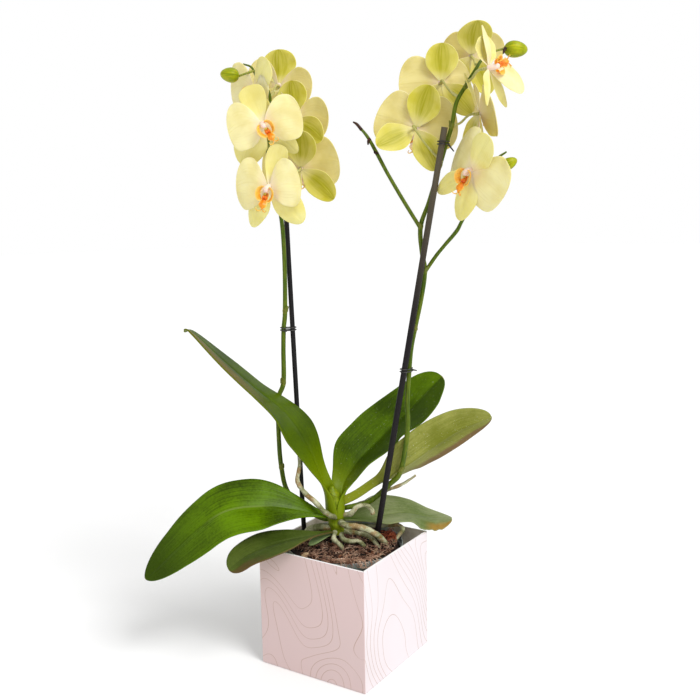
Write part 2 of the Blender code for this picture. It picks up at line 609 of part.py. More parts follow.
def lip(name, frame, size):
    """The column and the lip below it: a trough that runs forward and turns down to a point."""
    bm = bmesh.new()
    bmesh.ops.create_cone(bm, cap_ends=True, segments=8, radius1=COLUMN_RADIUS, radius2=COLUMN_RADIUS,
                          depth=COLUMN_LENGTH)
    lay = Matrix.Translation((0, -2.6 - COLUMN_LENGTH / 2, 0.5)) @ Matrix.Rotation(math.pi / 2, 4, "X")
    bmesh.ops.transform(bm, matrix=frame @ lay, verts=bm.verts)
    column = object_from(bm, "lip_" + name, material("lip_orange", (0.86, 0.25, 0.01), 0.45), parts)

    bm = bmesh.new()
    bmesh.ops.create_grid(bm, x_segments=4, y_segments=4, size=0.5)
    for vert in bm.verts:
        share = vert.co.y + 0.5
        side = 2 * vert.co.x
        half = 8.0 * math.sin(math.pi * (0.25 + 0.75 * share)) ** 0.7 + 1.0
        forward = -5.0 - 11.0 * math.sin(0.6 * math.pi * share)
        down = -2.2 - 17.0 * share ** 1.4
        lift = 7.0 * side ** 2 * (1 - share)
        vert.co = frame @ (size * Vector((half * side, forward, down + lift)))
    blade = object_from(bm, "lip_blade_" + name, None, helpers)
    body = blade.modifiers.new("thickness", "SOLIDIFY")
    body.thickness = 1.5 * MM
    body.offset = 0.0
    join(column, [blade])


def bud(name, design, spike_rooms):
    foot = Vector(design["foot"])
    tip = Vector(design["tip"])
    run = tip - foot
    bm = bmesh.new()
    bmesh.ops.create_uvsphere(bm, u_segments=10, v_segments=7, radius=1.0)
    turn = run.to_track_quat("Z", "Y").to_matrix().to_4x4()
    squash = Matrix.Diagonal((design["radius"], design["radius"] * 0.9, run.length / 2, 1.0))
    bmesh.ops.transform(bm, matrix=PLANT @ Matrix.Translation((foot + tip) / 2) @ turn @ squash, verts=bm.verts)
    made = object_from(bm, "bud_" + name, material("bud_green", (0.32, 0.34, 0.01), 0.5), parts)
    inside = foot + run * 0.2
    stalk = tube(name + "_bud_stalk", [design["stalk"], (Vector(design["stalk"]) + foot) / 2, foot, inside],
                 [BUD_STALK_RADIUS] * 2, 6, None, helpers)
    join(made, [stalk])
    trim(made, spike_rooms)


def side_of(name, rooms):
    return rooms["left"] if name.startswith("left") else rooms["right"]


def main():
    global parts, helpers
    for obj in list(bpy.data.objects):
        bpy.data.objects.remove(obj)
    parts = bpy.data.collections.new("potted_orchid")
    helpers = bpy.data.collections.new("cutters_and_joined_pieces")
    bpy.context.scene.collection.children.link(parts)
    bpy.context.scene.collection.children.link(helpers)

    planter_box()
    nursery_pot()
    crown_room = crown()
    leaves(crown_room)
    root_rooms = roots(crown_room)
    stake_rooms = stakes()
    potting_mix(root_rooms + stake_rooms)
    spike_rooms = spikes(crown_room)
    clips()
    for name, design in FLOWERS.items():
        flower(name, design, side_of(name, spike_rooms))
    for name, design in BUDS.items():
        bud(name, design, side_of(name, spike_rooms))


main()
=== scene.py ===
"""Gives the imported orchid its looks: the fine shape and the finish of every piece, a floor and the light.

Lengths are in metres. The plant's own shapes are in millimetres in its own frame: x runs left to right
across the plant, y from its front to its back and z up.
"""
import math
import random

import bpy
from bpy.props import FloatProperty, FloatVectorProperty, IntProperty, PointerProperty
from mathutils import Matrix, Vector, noise


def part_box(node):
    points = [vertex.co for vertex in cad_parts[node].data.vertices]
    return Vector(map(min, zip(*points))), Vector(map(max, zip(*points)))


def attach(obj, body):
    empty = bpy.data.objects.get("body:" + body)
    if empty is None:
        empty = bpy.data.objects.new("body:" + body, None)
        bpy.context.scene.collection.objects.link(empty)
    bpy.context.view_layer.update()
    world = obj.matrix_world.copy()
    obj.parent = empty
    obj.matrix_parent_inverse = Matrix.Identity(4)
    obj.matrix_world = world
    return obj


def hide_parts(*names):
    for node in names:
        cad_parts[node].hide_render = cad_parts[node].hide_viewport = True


bl_info = {
    "name": "Potted Orchid",
    "version": (1, 0, 0),
    "blender": (4, 5, 0),
    "location": "3D View > Sidebar > Orchid",
    "description": "Models a potted moth orchid round its packed frame",
    "category": "Add Mesh",
}

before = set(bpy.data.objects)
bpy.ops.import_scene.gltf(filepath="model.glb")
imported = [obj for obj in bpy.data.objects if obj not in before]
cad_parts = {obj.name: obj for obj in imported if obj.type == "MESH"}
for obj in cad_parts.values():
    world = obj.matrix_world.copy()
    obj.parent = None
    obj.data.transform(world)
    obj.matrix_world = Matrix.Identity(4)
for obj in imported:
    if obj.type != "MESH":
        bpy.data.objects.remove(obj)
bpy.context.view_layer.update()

# ------------------------------------------------------------------ sizes, in metres
MM = 0.001
# The plant's frame stands turned on the planter's, so that its x runs across the front view.
PLANT = Matrix.Rotation(math.radians(33), 4, "Z") @ Matrix.Scale(MM, 4)
# Points closer to each other than this are merged.
WELD = 0.00002
# The planter's folded edges are rounded to this radius, and its cut rim is softened by this much.
CARD_FOLD = 0.0009
CARD_CUT = 0.00025
# How close to the planter's top a point is when it counts as part of the rim.
RIM_BAND = 0.0001
POT_WALL = 0.0010
POT_FOOT = 0.046
POT_RIM_HEIGHT = 0.006
# How far the pot's rim stands out from its wall.
POT_RIM_STEP = 0.0012
# Heights of the mix where it is heaped at the pot's wall, and in its middle.
MIX_EDGE = 0.1255
MIX_MIDDLE = 0.1225
# Breadth of the mix at its foot against that at its top, and how many rings its top has.
MIX_TAPER = 0.76
MIX_RINGS = 26
# Lumps of the mix's top and of the roots' skin, each as its fineness and depth, and how far the
# mix's top is lowered under its chips.
MIX_LUMPS = ((190, 0.0018), (520, 0.0009))
ROOT_LUMPS = ((150, 0.0008), (430, 0.0003))
MIX_SINK = 0.0012
# How far chips and fibres keep from the pot's wall where they start, apart from those that spill.
WALL_GAP = 0.004
CHIP_LENGTHS = (0.003, 0.009)
FIBRE_RADIUS = 0.00027
FIBRE_STEPS = 6
FIBRE_STRIDES = (0.0012, 0.003)
# How far from the pot's middle the fibres begin to droop over its rim and how far out they reach,
# and where round it they do so, in degrees: at the planter's front corner, and to both sides of it.
DROOP_REACH = 0.0612
SPILL_REACH = 0.0668
SPILL_ANGLE = -45
SPILL_SPREAD = 27
# How far the reddish tuft's fibres stray from its middle, and how high it stands.
TUFT_SPREAD = 0.0045
TUFT_HEIGHT = 0.007
# The white floor's radius, and how far it lies below the planter.
FLOOR_RADIUS = 6.0
FLOOR_DROP = 0.0002
CAMERA_PLACE = (0.5487, -0.8266, 0.5158)
CAMERA_RIGHT = (0.8398, 0.5426, -0.0165)
CAMERA_UP = (-0.0836, 0.1593, 0.9837)
# The way to the key light.
SUNWARD = (0.80, -0.22, 0.85)

# ------------------------------------------------------------------ routes in the plant frame, mm
CROWN_ROUTE = [(-7, 5, 134), (-8, 5, 145), (-10, 4.5, 157), (-11, 3.5, 168), (-12, 3, 179), (-12.8, 3, 188)]
CROWN_RADII = [6.5, 8.6, 8.5, 8.4, 7.6, 1.8]
CROWN_AXIS = (-9, 5, 0)
# The climb from one old leaf's scar on the trunk to the next, and the breadth that a leaf gains
# where it clasps the trunk.
SCAR_SPACING = 9.0
CLASP_FLARE = 9.0
TUFT_PLACE = (47, 9, 0)
# Size of the lip against that of the flower round it.
LIP_SIZE = 0.84
LEFT_SPIKE = dict(
    route=[
        (-12, 7, 150), (-25, 9, 151), (-44, 14, 161), (-61, 20, 178), (-67, 25, 203), (-69, 28, 233),
        (-69, 35, 275), (-63, 37, 294), (-62, 37, 330), (-61, 37, 353), (-59, 36, 372), (-58, 34, 426),
        (-60, 32, 471), (-67, 32, 499), (-72, 33, 534), (-68, 34, 592), (-79, 33, 607), (-85, 32, 621),
        (-94, 31, 625)],
    radii=[
        2.8, 2.7, 2.6, 2.6, 2.6, 2.5, 2.5, 2.7, 2.5, 2.5, 2.5, 2.3, 2.2, 2.1, 1.9, 1.6, 1.4, 1.1, 0.8])
RIGHT_SPIKE = dict(
    route=[
        (1, 8, 162), (26, 10, 167), (49, 6, 188), (61, 3, 204), (68, -2, 249), (68, -2, 281), (70, -3, 311),
        (72, -4, 335), (76, -5, 357), (83, -7, 391), (86, -8, 417), (83, -9, 437), (82, -9, 461),
        (90, -11, 485), (101, -13, 521), (107, -16, 542), (112, -17, 558), (116.5, -16, 580),
        (125, -14, 595), (136, -10, 612), (142, -6, 621), (149, -3, 628)],
    radii=[
        2.8, 2.8, 2.8, 2.8, 2.7, 2.6, 2.6, 2.6, 2.6, 2.5, 2.7, 2.4, 2.5, 2.1, 2.2, 2.2, 2.2, 2.1, 1.9,
        1.7, 1.5, 1.2])
LEFT_BRANCH = dict(
    route=[(82, -9, 459), (65, -7, 487), (50, -5, 513), (39, -4, 534), (30, -3, 550), (20, -2, 562)],
    radii=[2.0, 2.0, 1.9, 2.0, 1.7, 1.2])
RIGHT_BRANCH = dict(
    route=[
        (86, -8, 415), (97, -9, 431), (106, -9, 442), (118, -9, 456), (124, -9, 467), (141, -9, 496),
        (156, -9, 524), (167, -9, 533)],
    radii=[2.0, 2.0, 1.9, 2.1, 1.8, 1.6, 1.5, 0.9])
STAKES = {
    "stake_left": dict(foot=(-44, 25, 120), top=(-55.5, 46, 470), radius=2.6),
    "stake_right": dict(foot=(33, 4, 120), top=(104.5, -23.2, 557), radius=3.1),
}
# How much further each stake goes down through the mix.
STAKE_DEPTH = 60

# Each leaf: its midrib, its roll about it along its length, in degrees, its widest half-width and the
# stalk's, the shares of its length at which the stalk ends and the blade is widest, and the fold at
# its keel, in degrees. clasp is how far round the trunk its foot wraps, and point is lower for a
# blunter tip. frill is a curled margin: its side, where it starts and ends and how deep it is.
LEAVES = {
    "leaf_upper_left": dict(
        route=[(-18, 3.5, 154), (-18.5, 3.5, 166), (-19, 3.5, 178), (-22.5, 3.5, 194), (-33, 4, 223),
               (-45, 5, 247), (-62, 6, 270), (-89, 7, 293), (-124, 9, 325), (-155, 10, 355), (-163, 10, 356)],
        roll=[0, -5, -15, -25, -28, -30, -15, -5, 0, 5, 30], half=27, stalk=7.5, narrow=0.08, belly=0.45,
        fold=(0, 2), clasp=112, point=0.5),
    "leaf_lower_left": dict(
        route=[(-12, 1, 152), (-27, -8, 160), (-56, -16, 170), (-86, -21, 175), (-118, -27, 174),
               (-142, -31, 162), (-173, -36, 136), (-206, -40, 105)],
        roll=[-15, -20, -30, -40, -40, -35, -37, -50], half=33, stalk=5, narrow=0.02, belly=0.41,
        fold=(30, 10, 0, 0), point=0.6),
    "leaf_small_left": dict(
        route=[(-13, 1, 137), (-28, -21, 143), (-56, -38, 144), (-82, -48, 140), (-101, -54, 133),
               (-117, -60, 122)],
        roll=[-10, -10, -15, -18, -18, -28], half=21.5, stalk=3, narrow=0.08, belly=0.7, fold=(35, 10, 6)),
    "leaf_upper_right": dict(
        route=[(-0.5, 7.5, 152), (-0.5, 8, 163), (-1.5, 11, 175), (1, 18, 187), (16, 27, 207),
               (35, 37, 224), (52, 43, 240), (73, 44, 259), (93, 45, 281), (109, 45, 296)],
        roll=[0, 5, 12, 13, 17, 23, 29, 44, 57, 51], half=34.8, stalk=7.5, narrow=0.1, belly=0.37,
        fold=(0, 30, 22, 12), clasp=108, point=0.43),
    "leaf_right": dict(
        route=[(-3, 6, 165), (15, 8, 173), (35, 8, 187), (53, 9, 199), (71, 12, 210),
               (94, 16, 225), (125, 19, 244), (159, 20, 257)],
        roll=[-45, -53, -66, -70, -58, -62, -66, -62], half=31, stalk=8.5, narrow=0.25, belly=0.5,
        fold=(60, 45, 15, 12, 12)),
    "leaf_lower_right": dict(
        route=[(-4, 9, 148), (14, 22, 144), (39, 32, 143), (68, 35, 145), (94, 37, 139), (119, 37, 137)],
        roll=[26, 25, 21, 9, 5, 5], half=29, stalk=6, narrow=0.05, belly=0.45, fold=(41, -10),
        frill=(-1, 0.72, 0.9, 4.5)),
    "leaf_scale": dict(
        route=[(-13, 5, 134), (-21, -3, 135), (-28, -13, 135), (-37, -24, 133)],
        roll=[-10, -10, -15, -20], half=5, stalk=3, narrow=0, belly=0.5, fold=(10, 5)),
}
LEAF_THICKNESS = 1.8

# Each root: its radius, and its route from the crown.
ROOTS = {
    "root_left_aerial": dict(radius=3.0, route=[
        (-9, -3, 156), (-14, -11, 160), (-21, -13, 166), (-28, -12, 174), (-40, -8, 184),
        (-48, -5, 196), (-46, -4, 212), (-45, -4, 225)]),
    "root_front_long": dict(radius=3.6, route=[
        (-8, 3, 151), (2, -8, 148), (14, -9, 147), (29, -9, 141), (40, -6, 131), (46, -1, 119),
        (47, 0, 111)]),
    "root_front_left": dict(radius=2.9, route=[
        (-9, 2, 140), (-11, -6, 136), (-11, -10, 134), (-7, -10, 129), (-1, -9, 121), (0, -8, 110)]),
    "root_front_right": dict(radius=2.8, route=[
        (-6, 3, 140), (-1, -3, 131), (7, -5, 129), (15, -5, 129), (22, -5, 122), (25, -5, 111)]),
    "root_right_arch": dict(radius=2.9, route=[
        (-4, 7, 137), (6.5, 5, 136), (16, 3, 134.5), (24, -1, 133.5), (31, -4, 129.5), (35.5, -4, 123),
        (38, -4, 116), (38, -4, 110)]),
    "root_right_loop": dict(radius=2.9, route=[
        (-4, 3, 156), (6, -1, 158), (10, -2, 162), (15, -2, 167), (23, -2, 168), (29, -2, 164),
        (31, -2, 158)]),
    "root_right_back": dict(radius=2.4, route=[
        (-4, 12, 143), (20, 20, 137), (44, 20, 137), (58, 15.5, 139), (63, 11, 136), (60, 9, 131.5),
        (56, 7, 127), (52, 6, 120), (50, 4, 110)]),
    "root_left_back": dict(radius=4.0, route=[
        (-10, 5, 141), (-26, 5, 142), (-38, 10, 137), (-46, 13, 126), (-47, 14, 112)]),
    "root_dry_aerial": dict(radius=2.4, route=[
        (-6, 10, 160), (10, 20, 160), (30, 21, 167), (48, 20, 177), (63, 20, 183), (78, 20, 193)]),
    "root_back": dict(radius=3.2, route=[(-10, 10, 142), (-16, 22, 138), (-20, 32, 128), (-21, 36, 112)]),
}


def mirrored(tepal):
    """The same tepal on the flower's other side."""
    turn = math.copysign(180, tepal["spread"])
    return dict(tepal, spread=turn - tepal["spread"], arch=-tepal["arch"])


# Each tepal: where it points round the flower and how far it leans back, in degrees, its length and
# half-width, the part of its length at which it is widest, how deep it is cupped, how blunt its tip and
# how slow its swell is, how far behind the flower's face it lies and how far its spine arches, in mm.
DORSAL = dict(
    spread=90, lean=5, length=42, half=17, belly=0.56, cup=3.2, blunt=2.0, swell=1.1, rear=1.8, arch=0)
PETAL = dict(
    spread=8, lean=3, length=40, half=26, belly=0.54, cup=2.4, blunt=2.7, swell=0.72, rear=-1.2, arch=3.5)
LATERAL = dict(
    spread=-56, lean=8, length=46, half=14, belly=0.5, cup=2.8, blunt=1.7, swell=1.1, rear=1.2, arch=1.5)
TEPALS = dict(
    dorsal=DORSAL, petal_right=PETAL, petal_left=mirrored(PETAL), lateral_right=LATERAL,
    lateral_left=mirrored(LATERAL))
TEPAL_THICKNESS = 0.7

# Each flower: the middle of its face, where its stalk leaves the spike, the way it faces (0 is to
# the plant's front, 90 to its right), how far it tilts up, how it and its lip are rolled, its size,
# the tepals with their own (spread, lean), and those with a shape of their own.
FLOWERS = {
    "left_1": dict(
        centre=(-72, -12, 563), stalk=(-72, 34, 540), face=1, tilt=-1, roll=-12, size=0.98, lip_roll=-22,
        own=dict(
            dorsal=(99, 10), petal_left=(182, 5), petal_right=(-1, 4), lateral_left=(-133, 18),
            lateral_right=(-53, 18)),
        shape=dict(
            dorsal=dict(half=13.5, belly=0.72, cup=-3, blunt=3.0),
            lateral_right=dict(half=10, twist=25), lateral_left=dict(half=17, length=49),
            petal_left=dict(length=36, half=24, belly=0.56, blunt=3.0),
            petal_right=dict(half=23, belly=0.58, blunt=3.3, arch=1.5))),
    "left_2": dict(
        centre=(-68, -16, 502), stalk=(-65, 32, 492), face=-14, tilt=-3, roll=2, size=1.05, lip_roll=10,
        own=dict(
            dorsal=(79, 14), petal_left=(180, 8), petal_right=(6, 6), lateral_left=(-119, 14),
            lateral_right=(-48, 14)),
        shape=dict(
            dorsal=dict(half=11, belly=0.66, cup=-3, blunt=3.0), lateral_left=dict(half=11, blunt=1.2),
            petal_left=dict(length=34, half=24.5, belly=0.6, blunt=2.4),
            petal_right=dict(length=31, half=23, belly=0.55, blunt=2.6))),
    "left_3": dict(
        centre=(-39, 42, 520), stalk=(-68, 33, 509), face=170, tilt=6, roll=2, size=1.03,
        own=dict(dorsal=(99, 18), petal_left=(174, -5), lateral_left=(-136, 4))),
    "left_4": dict(
        centre=(-45, 50, 571), stalk=(-70, 34, 562), face=165, tilt=-6, roll=4, size=0.95,
        own=dict(dorsal=(89, -4), petal_left=(190, 3), lateral_left=(-141, 14)),
        shape=dict(petal_left=dict(half=22))),
    "left_5": dict(
        centre=(-62, 84, 607), stalk=(-68, 34, 592), face=168, tilt=-5, roll=-1, size=0.94,
        own=dict(dorsal=(86, -11), petal_left=(190, 6)),
        shape=dict(dorsal=dict(half=21, length=43, blunt=2.2), petal_left=dict(half=22))),
    "left_6": dict(
        centre=(-82, 20, 599), stalk=(-77, 33, 604), face=-53, tilt=-3, roll=18, size=0.95,
        own=dict(dorsal=(61, -1), petal_left=(197, -6)),
        shape=dict(dorsal=dict(length=39), petal_right=dict(half=13, length=27))),
    "right_1": dict(
        centre=(105, 18, 602), stalk=(118, -15, 586), face=181, tilt=-11, roll=4, size=0.99,
        own=dict(dorsal=(96, 3), petal_right=(4, -3), petal_left=(172, -8), lateral_left=(-126, 11)),
        shape=dict(
            dorsal=dict(length=40), petal_right=dict(length=43), petal_left=dict(half=19, length=32),
            lateral_right=dict(blunt=1.3))),
    "right_2": dict(
        centre=(78, 1, 557), stalk=(101, -12.5, 526), face=167, tilt=-12, roll=-12, size=1.05,
        own=dict(
            dorsal=(98, 9), petal_right=(8, 8), petal_left=(162, -6), lateral_right=(-46, 32),
            lateral_left=(-130, 2)),
        shape=dict(lateral_right=dict(blunt=1.3, half=15), dorsal=dict(blunt=1.7))),
    "right_3": dict(
        centre=(139, 50, 631), stalk=(137, -7.5, 617), face=189, tilt=21, roll=-3, size=0.96,
        own=dict(dorsal=(86, 14), petal_right=(5, -16), petal_left=(160, -2)),
        shape=dict(
            dorsal=dict(half=19, length=42), petal_right=dict(half=18, length=33),
            petal_left=dict(half=15, length=38))),
    "right_4": dict(
        centre=(144, -42, 610), stalk=(126, -13, 600), face=60, tilt=5, roll=11, size=1.04, lip_roll=-118,
        own=dict(
            dorsal=(89, 4), petal_right=(-24, -29), petal_left=(92, 10), lateral_right=(-36, -5),
            lateral_left=(-118, -10)),
        shape=dict(
            dorsal=dict(half=12, length=31, twist=-30, cup=-4, ruffle=3),
            petal_right=dict(half=12, length=42), petal_left=dict(half=6, length=40),
            lateral_right=dict(half=8), lateral_left=dict(half=8))),
    "right_5": dict(
        centre=(140, -10, 570), stalk=(112, -17, 558), face=103, tilt=3, roll=-6, size=0.99,
        own=dict(dorsal=(84, 17), petal_left=(181, 0), petal_right=(-4, -10), lateral_left=(-123, 6)),
        shape=dict(
            dorsal=dict(half=10, twist=-24), petal_left=dict(cup=5, twist=12),
            lateral_left=dict(twist=20))),
    "right_6": dict(
        centre=(127, -50, 515), stalk=(135, -9, 486), face=-44, tilt=0, roll=36, size=1.06, lip_roll=-20,
        own=dict(
            dorsal=(82, -18), petal_left=(183, 30), petal_right=(-1, 10), lateral_left=(-118, 4),
            lateral_right=(-69, -3)),
        shape=dict(
            dorsal=dict(half=14.5), petal_left=dict(half=28, length=42), petal_right=dict(blunt=3.0),
            lateral_left=dict(half=8.5, twist=-20), lateral_right=dict(half=12))),
}

# Each bud: where its stalk leaves the spike, its foot and tip, and its radius.
BUDS = {
    "bud_left": dict(stalk=(-84, 31, 618), foot=(-96, 10, 611.5), tip=(-114.5, 8, 613.5), radius=8.5),
    "bud_right_top": dict(stalk=(148.6, -2.8, 628.4), foot=(165, 2, 632), tip=(188.5, 4, 631), radius=9.4),
    "bud_right_low": dict(
        stalk=(154, -9, 520), foot=(160.5, -18, 517.5), tip=(175.5, -20, 525.5), radius=6.8),
}

# Each clip: what it holds together, its height, and the way its loose end points.
CLIPS = {
    "clip_left": dict(stake="stake_left", spike=LEFT_SPIKE, height=351, tail=(6, -2, -2)),
    "clip_right_low": dict(stake="stake_right", spike=RIGHT_SPIKE, height=313, tail=(6, -2, -1)),
    "clip_right_top": dict(stake="stake_right", spike=RIGHT_SPIKE, height=541, tail=(6, -3, -8)),
}

# Each node of a spike: its place, the way its bract points out, and the bract's length, mm.
NODES = [
    dict(spike="left", step=4, out=(0.5, -0.9, 0), length=6),
    dict(spike="left", step=7, out=(-0.4, -0.9, 0), length=7),
    dict(spike="left", step=10, out=(0.7, -0.7, 0), length=7),
    dict(spike="right", step=3, out=(0.2, -1, 0), length=8),
    dict(spike="right", step=8, out=(-0.3, -1, 0), length=7),
    dict(spike="right", step=10, out=(0.8, -0.6, 0), length=6),
    dict(spike="right", step=12, out=(-0.8, -0.6, 0), length=6),
    dict(spike="right", step=14, out=(-0.9, -0.4, 0), length=5),
    dict(spike="right", step=16, out=(-0.9, -0.4, 0), length=6),
    dict(spike="right", step=18, out=(0.9, -0.4, 0), length=6),
]

# The withered tip of the left branch, the dry bracts beside it, and the one under the top bud.
WITHERED = [
    [(24.5, -2.4, 556.5), (20, -2, 562), (16, -2, 564.5)],
    [(32.5, -4, 548), (31, -5, 545.5), (30.5, -5.5, 542)],
    [(40, -4.5, 533), (37.5, -5.5, 534.5), (36.5, -5.5, 536)],
    [(165.5, -3, 632), (164, -6, 629.5), (163, -7, 626.5)],
]


# ------------------------------------------------------------------ curves and colours
def tone(red, green, blue):
    """A colour of the 0 to 255 kind as the linear numbers that a shader takes."""
    return tuple((part / 255) ** 2.2 for part in (red, green, blue))


def at(point):
    """World place of a point of the plant frame."""
    return PLANT @ Vector(point)


def smooth(points, count):
    """Points at even steps along a smooth curve through the given ones."""
    rows = [Vector(point) for point in points]
    rows = [2 * rows[0] - rows[1]] + rows + [2 * rows[-1] - rows[-2]]
    last = len(rows) - 3
    found = []
    for step in range(count):
        along = last * step / (count - 1)
        index = min(int(along), last - 1)
        t = along - index
        a, b, c, d = rows[index:index + 4]
        found.append(0.5 * (2 * b + (c - a) * t + (2 * a - 5 * b + 4 * c - d) * t ** 2
                            + (3 * b - a - 3 * c + d) * t ** 3))
    return found


def value_along(values, share):
    """A value read between evenly spaced ones, share running from 0 to 1."""
    along = share * (len(values) - 1)
    index = min(int(along), len(values) - 2)
    return values[index] + (along - index) * (values[index + 1] - values[index])


def eased(value, low, high):
    """0 below low, 1 above high and smooth between."""
    share = min(max((value - low) / (high - low), 0.0), 1.0)
    return share * share * (3 - 2 * share)


def lumps(place, waves):
    """Unevenness at a place: the sum of waves, each given as its fineness and depth."""
    return sum(noise.noise(place * fineness) * depth for fineness, depth in waves)


# ------------------------------------------------------------------ finishes
class Signal:
    """One output in a finish's node tree. Arithmetic on it adds Math nodes to that tree."""

    def __init__(self, finish, socket):
        self.finish = finish
        self.socket = socket

    def math(self, operation, *values):
        """The output of a Math node of this kind."""
        return self.finish.add("ShaderNodeMath", dict(operation=operation), dict(enumerate(values)))

    def __add__(self, other):
        return self.math("ADD", self, other)

    def __sub__(self, other):
        return self.math("SUBTRACT", self, other)

    def __mul__(self, other):
        return self.math("MULTIPLY", self, other)

    def __truediv__(self, other):
        return self.math("DIVIDE", self, other)

    def __pow__(self, other):
        return self.math("POWER", self, other)

    def __rsub__(self, other):
        return self.math("SUBTRACT", other, self)

    def __rtruediv__(self, other):
        return self.math("DIVIDE", other, self)

    def __abs__(self):
        return self.math("ABSOLUTE", self)

    __radd__ = __add__
    __rmul__ = __mul__

    def rise(self, low, high):
        """0 on low's side, 1 on high's side and smooth between."""
        return self.finish.add("ShaderNodeMapRange", dict(interpolation_type="SMOOTHSTEP"),
                               {"Value": self, "From Min": low, "From Max": high})


class Finish:
    """A material with one Principled shader, and the ways to add nodes to it."""

    def __init__(self, name, **constants):
        self.material = bpy.data.materials.new(name)
        self.material.use_nodes = True
        self.tree = self.material.node_tree
        self.shader = self.tree.nodes["Principled BSDF"]
        for socket, value in constants.items():
            self.shader.inputs[socket.replace("_", " ")].default_value = value

    def add(self, kind, settings=None, inputs=None, output=0):
        """Adds a node: its settings first, then the values or links of its sockets."""
        node = self.tree.nodes.new(kind)
        for name, value in (settings or {}).items():
            setattr(node, name, value)
        for name, value in (inputs or {}).items():
            if isinstance(value, Signal):
                self.tree.links.new(value.socket, node.inputs[name])
            else:
                node.inputs[name].default_value = value
        return Signal(self, node.outputs[output])

    def place(self):
        """The point's place on the object, in metres."""
        return self.add("ShaderNodeTexCoord", output="Object")

    def sheet(self):
        """The place on a blade, across and along, each from 0 to 1."""
        return self.split(self.add("ShaderNodeTexCoord", output="UV"))[:2]

    def split(self, vector):
        """The three numbers of a vector."""
        node = self.tree.nodes.new("ShaderNodeSeparateXYZ")
        self.tree.links.new(vector.socket, node.inputs[0])
        return [Signal(self, output) for output in node.outputs]

    def joined(self, x, y, z=0.0):
        """A vector of three numbers."""
        return self.add("ShaderNodeCombineXYZ", None, {0: x, 1: y, 2: z})

    def noise(self, scale, detail=3.0, vector=None, roughness=0.5, distortion=0.0):
        """Noise from 0 to 1, read at the point's own place unless another vector is given."""
        return self.add("ShaderNodeTexNoise", None, {
            "Vector": vector or self.place(), "Scale": scale, "Detail": detail, "Roughness": roughness,
            "Distortion": distortion})

    def stretched(self, detail, x, y, z=0.0):
        """Noise drawn out into streaks, by the scale that each direction is read at."""
        return self.noise(1.0, detail, self.joined(x, y, z))

    def blend(self, first, second, share):
        """The first colour where share is 0 and the second where it is 1."""
        colours = {0: share}
        for socket, colour in ((6, first), (7, second)):
            colours[socket] = colour if isinstance(colour, Signal) else (*colour[:3], 1.0)
        return self.add("ShaderNodeMix", dict(data_type="RGBA"), colours, output=2)

    def finish(self, colour, roughness=None, bumps=()):
        """Links the colour and roughness, and a chain of (height, strength, distance) bumps."""
        self.tree.links.new(colour.socket, self.shader.inputs["Base Color"])
        if isinstance(roughness, Signal):
            self.tree.links.new(roughness.socket, self.shader.inputs["Roughness"])
        normal = None
        for height, strength, distance in bumps:
            inputs = {"Height": height, "Strength": strength, "Distance": distance}
            if normal:
                inputs["Normal"] = normal
            normal = self.add("ShaderNodeBump", None, inputs)
        if normal:
            self.tree.links.new(normal.socket, self.shader.inputs["Normal"])
        return self.material


def card_finish(settings):
    """Pale printed card with fine contour lines all round it, and painted shade on its two walls that face y.
    """
    card = Finish("Printed_card", Roughness=0.55, Specular_IOR_Level=0.25)
    place = card.place()
    x, y, z = card.split(place)
    lines = 27.0
    reach = 0.0015

    def field(dx, dy, dz):
        stretched = card.joined((x + dx) * 1.15, (y + dy) * 1.15 + z * 0.35, (z + dz) * 0.7)
        return card.noise(7.5, 1.0, stretched, 0.4, 0.5)

    here = field(0.0, 0.0, 0.0)
    slope_x = field(reach, 0.0, 0.0) - here
    slope_y = field(0.0, reach, 0.0) - here
    slope_z = field(0.0, 0.0, reach) - here
    facing = card.add("ShaderNodeTexCoord", output="Normal")
    normal_x, normal_y, _ = card.split(facing)
    slope_x = slope_x * (1 - abs(normal_x))
    slope_y = slope_y * (1 - abs(normal_y))
    steepness = (slope_x * slope_x + slope_y * slope_y + slope_z * slope_z) ** 0.5 / reach
    phase = here * lines
    off_line = abs(phase.math("FRACT", phase) - 0.5)
    distance = off_line / (steepness * lines + 0.5)
    line = distance.rise(0.00042, 0.0001)
    strength = card.noise(14.0, 1.0).rise(0.3, 0.7) * 0.4 + 0.5
    # Painted shade: the two walls that face y take the pinker, darker colour by the way they face.
    tinted = card.blend(settings.card_colour, settings.card_painted_shade, abs(normal_y).rise(0.3, 0.7))
    tinted = card.blend(tinted, tone(206, 188, 186), card.noise(9.0, 2.0).rise(0.45, 0.8) * 0.35)
    printed = card.blend(tinted, settings.line_colour, line * strength)
    fibre = card.noise(2600.0, 2.0)
    return card.finish(printed, bumps=[(fibre, 0.05, 0.0002)])


def plain_card_finish(name, colour, shade):
    """Bare card, with faint fibres."""
    card = Finish(name, Roughness=0.75, Specular_IOR_Level=0.25)
    cloud = card.noise(60.0, 4.0).rise(0.3, 0.7)
    fibre = card.noise(1800.0, 2.0)
    return card.finish(card.blend(colour, shade, cloud), bumps=[(fibre, 0.12, 0.0003)])


def pot_finish():
    """Thin smoky plastic, a little scuffed."""
    pot = Finish("Smoky_plastic", Roughness=0.3)
    scuff = pot.noise(90.0, 5.0).rise(0.45, 0.75)
    colour = pot.blend(tone(118, 128, 124), tone(150, 158, 152), scuff)
    return pot.finish(colour, scuff * 0.25 + 0.25)


def bark_finish(name, dark, middle, pale):
    """Bark with grain along its chips and odd pale faces."""
    bark = Finish(name, Roughness=0.85, Specular_IOR_Level=0.25)
    patch = bark.noise(130.0, 3.0)
    grain = bark.noise(900.0, 4.0)
    colour = bark.blend(dark, middle, patch.rise(0.32, 0.62))
    colour = bark.blend(colour, pale, (patch * 0.5 + grain * 0.5).rise(0.55, 0.68))
    colour = bark.blend(colour, dark, grain.rise(0.5, 0.3) * 0.7)
    return bark.finish(colour, bumps=[(grain, 0.6, 0.0006), (patch, 0.4, 0.002)])


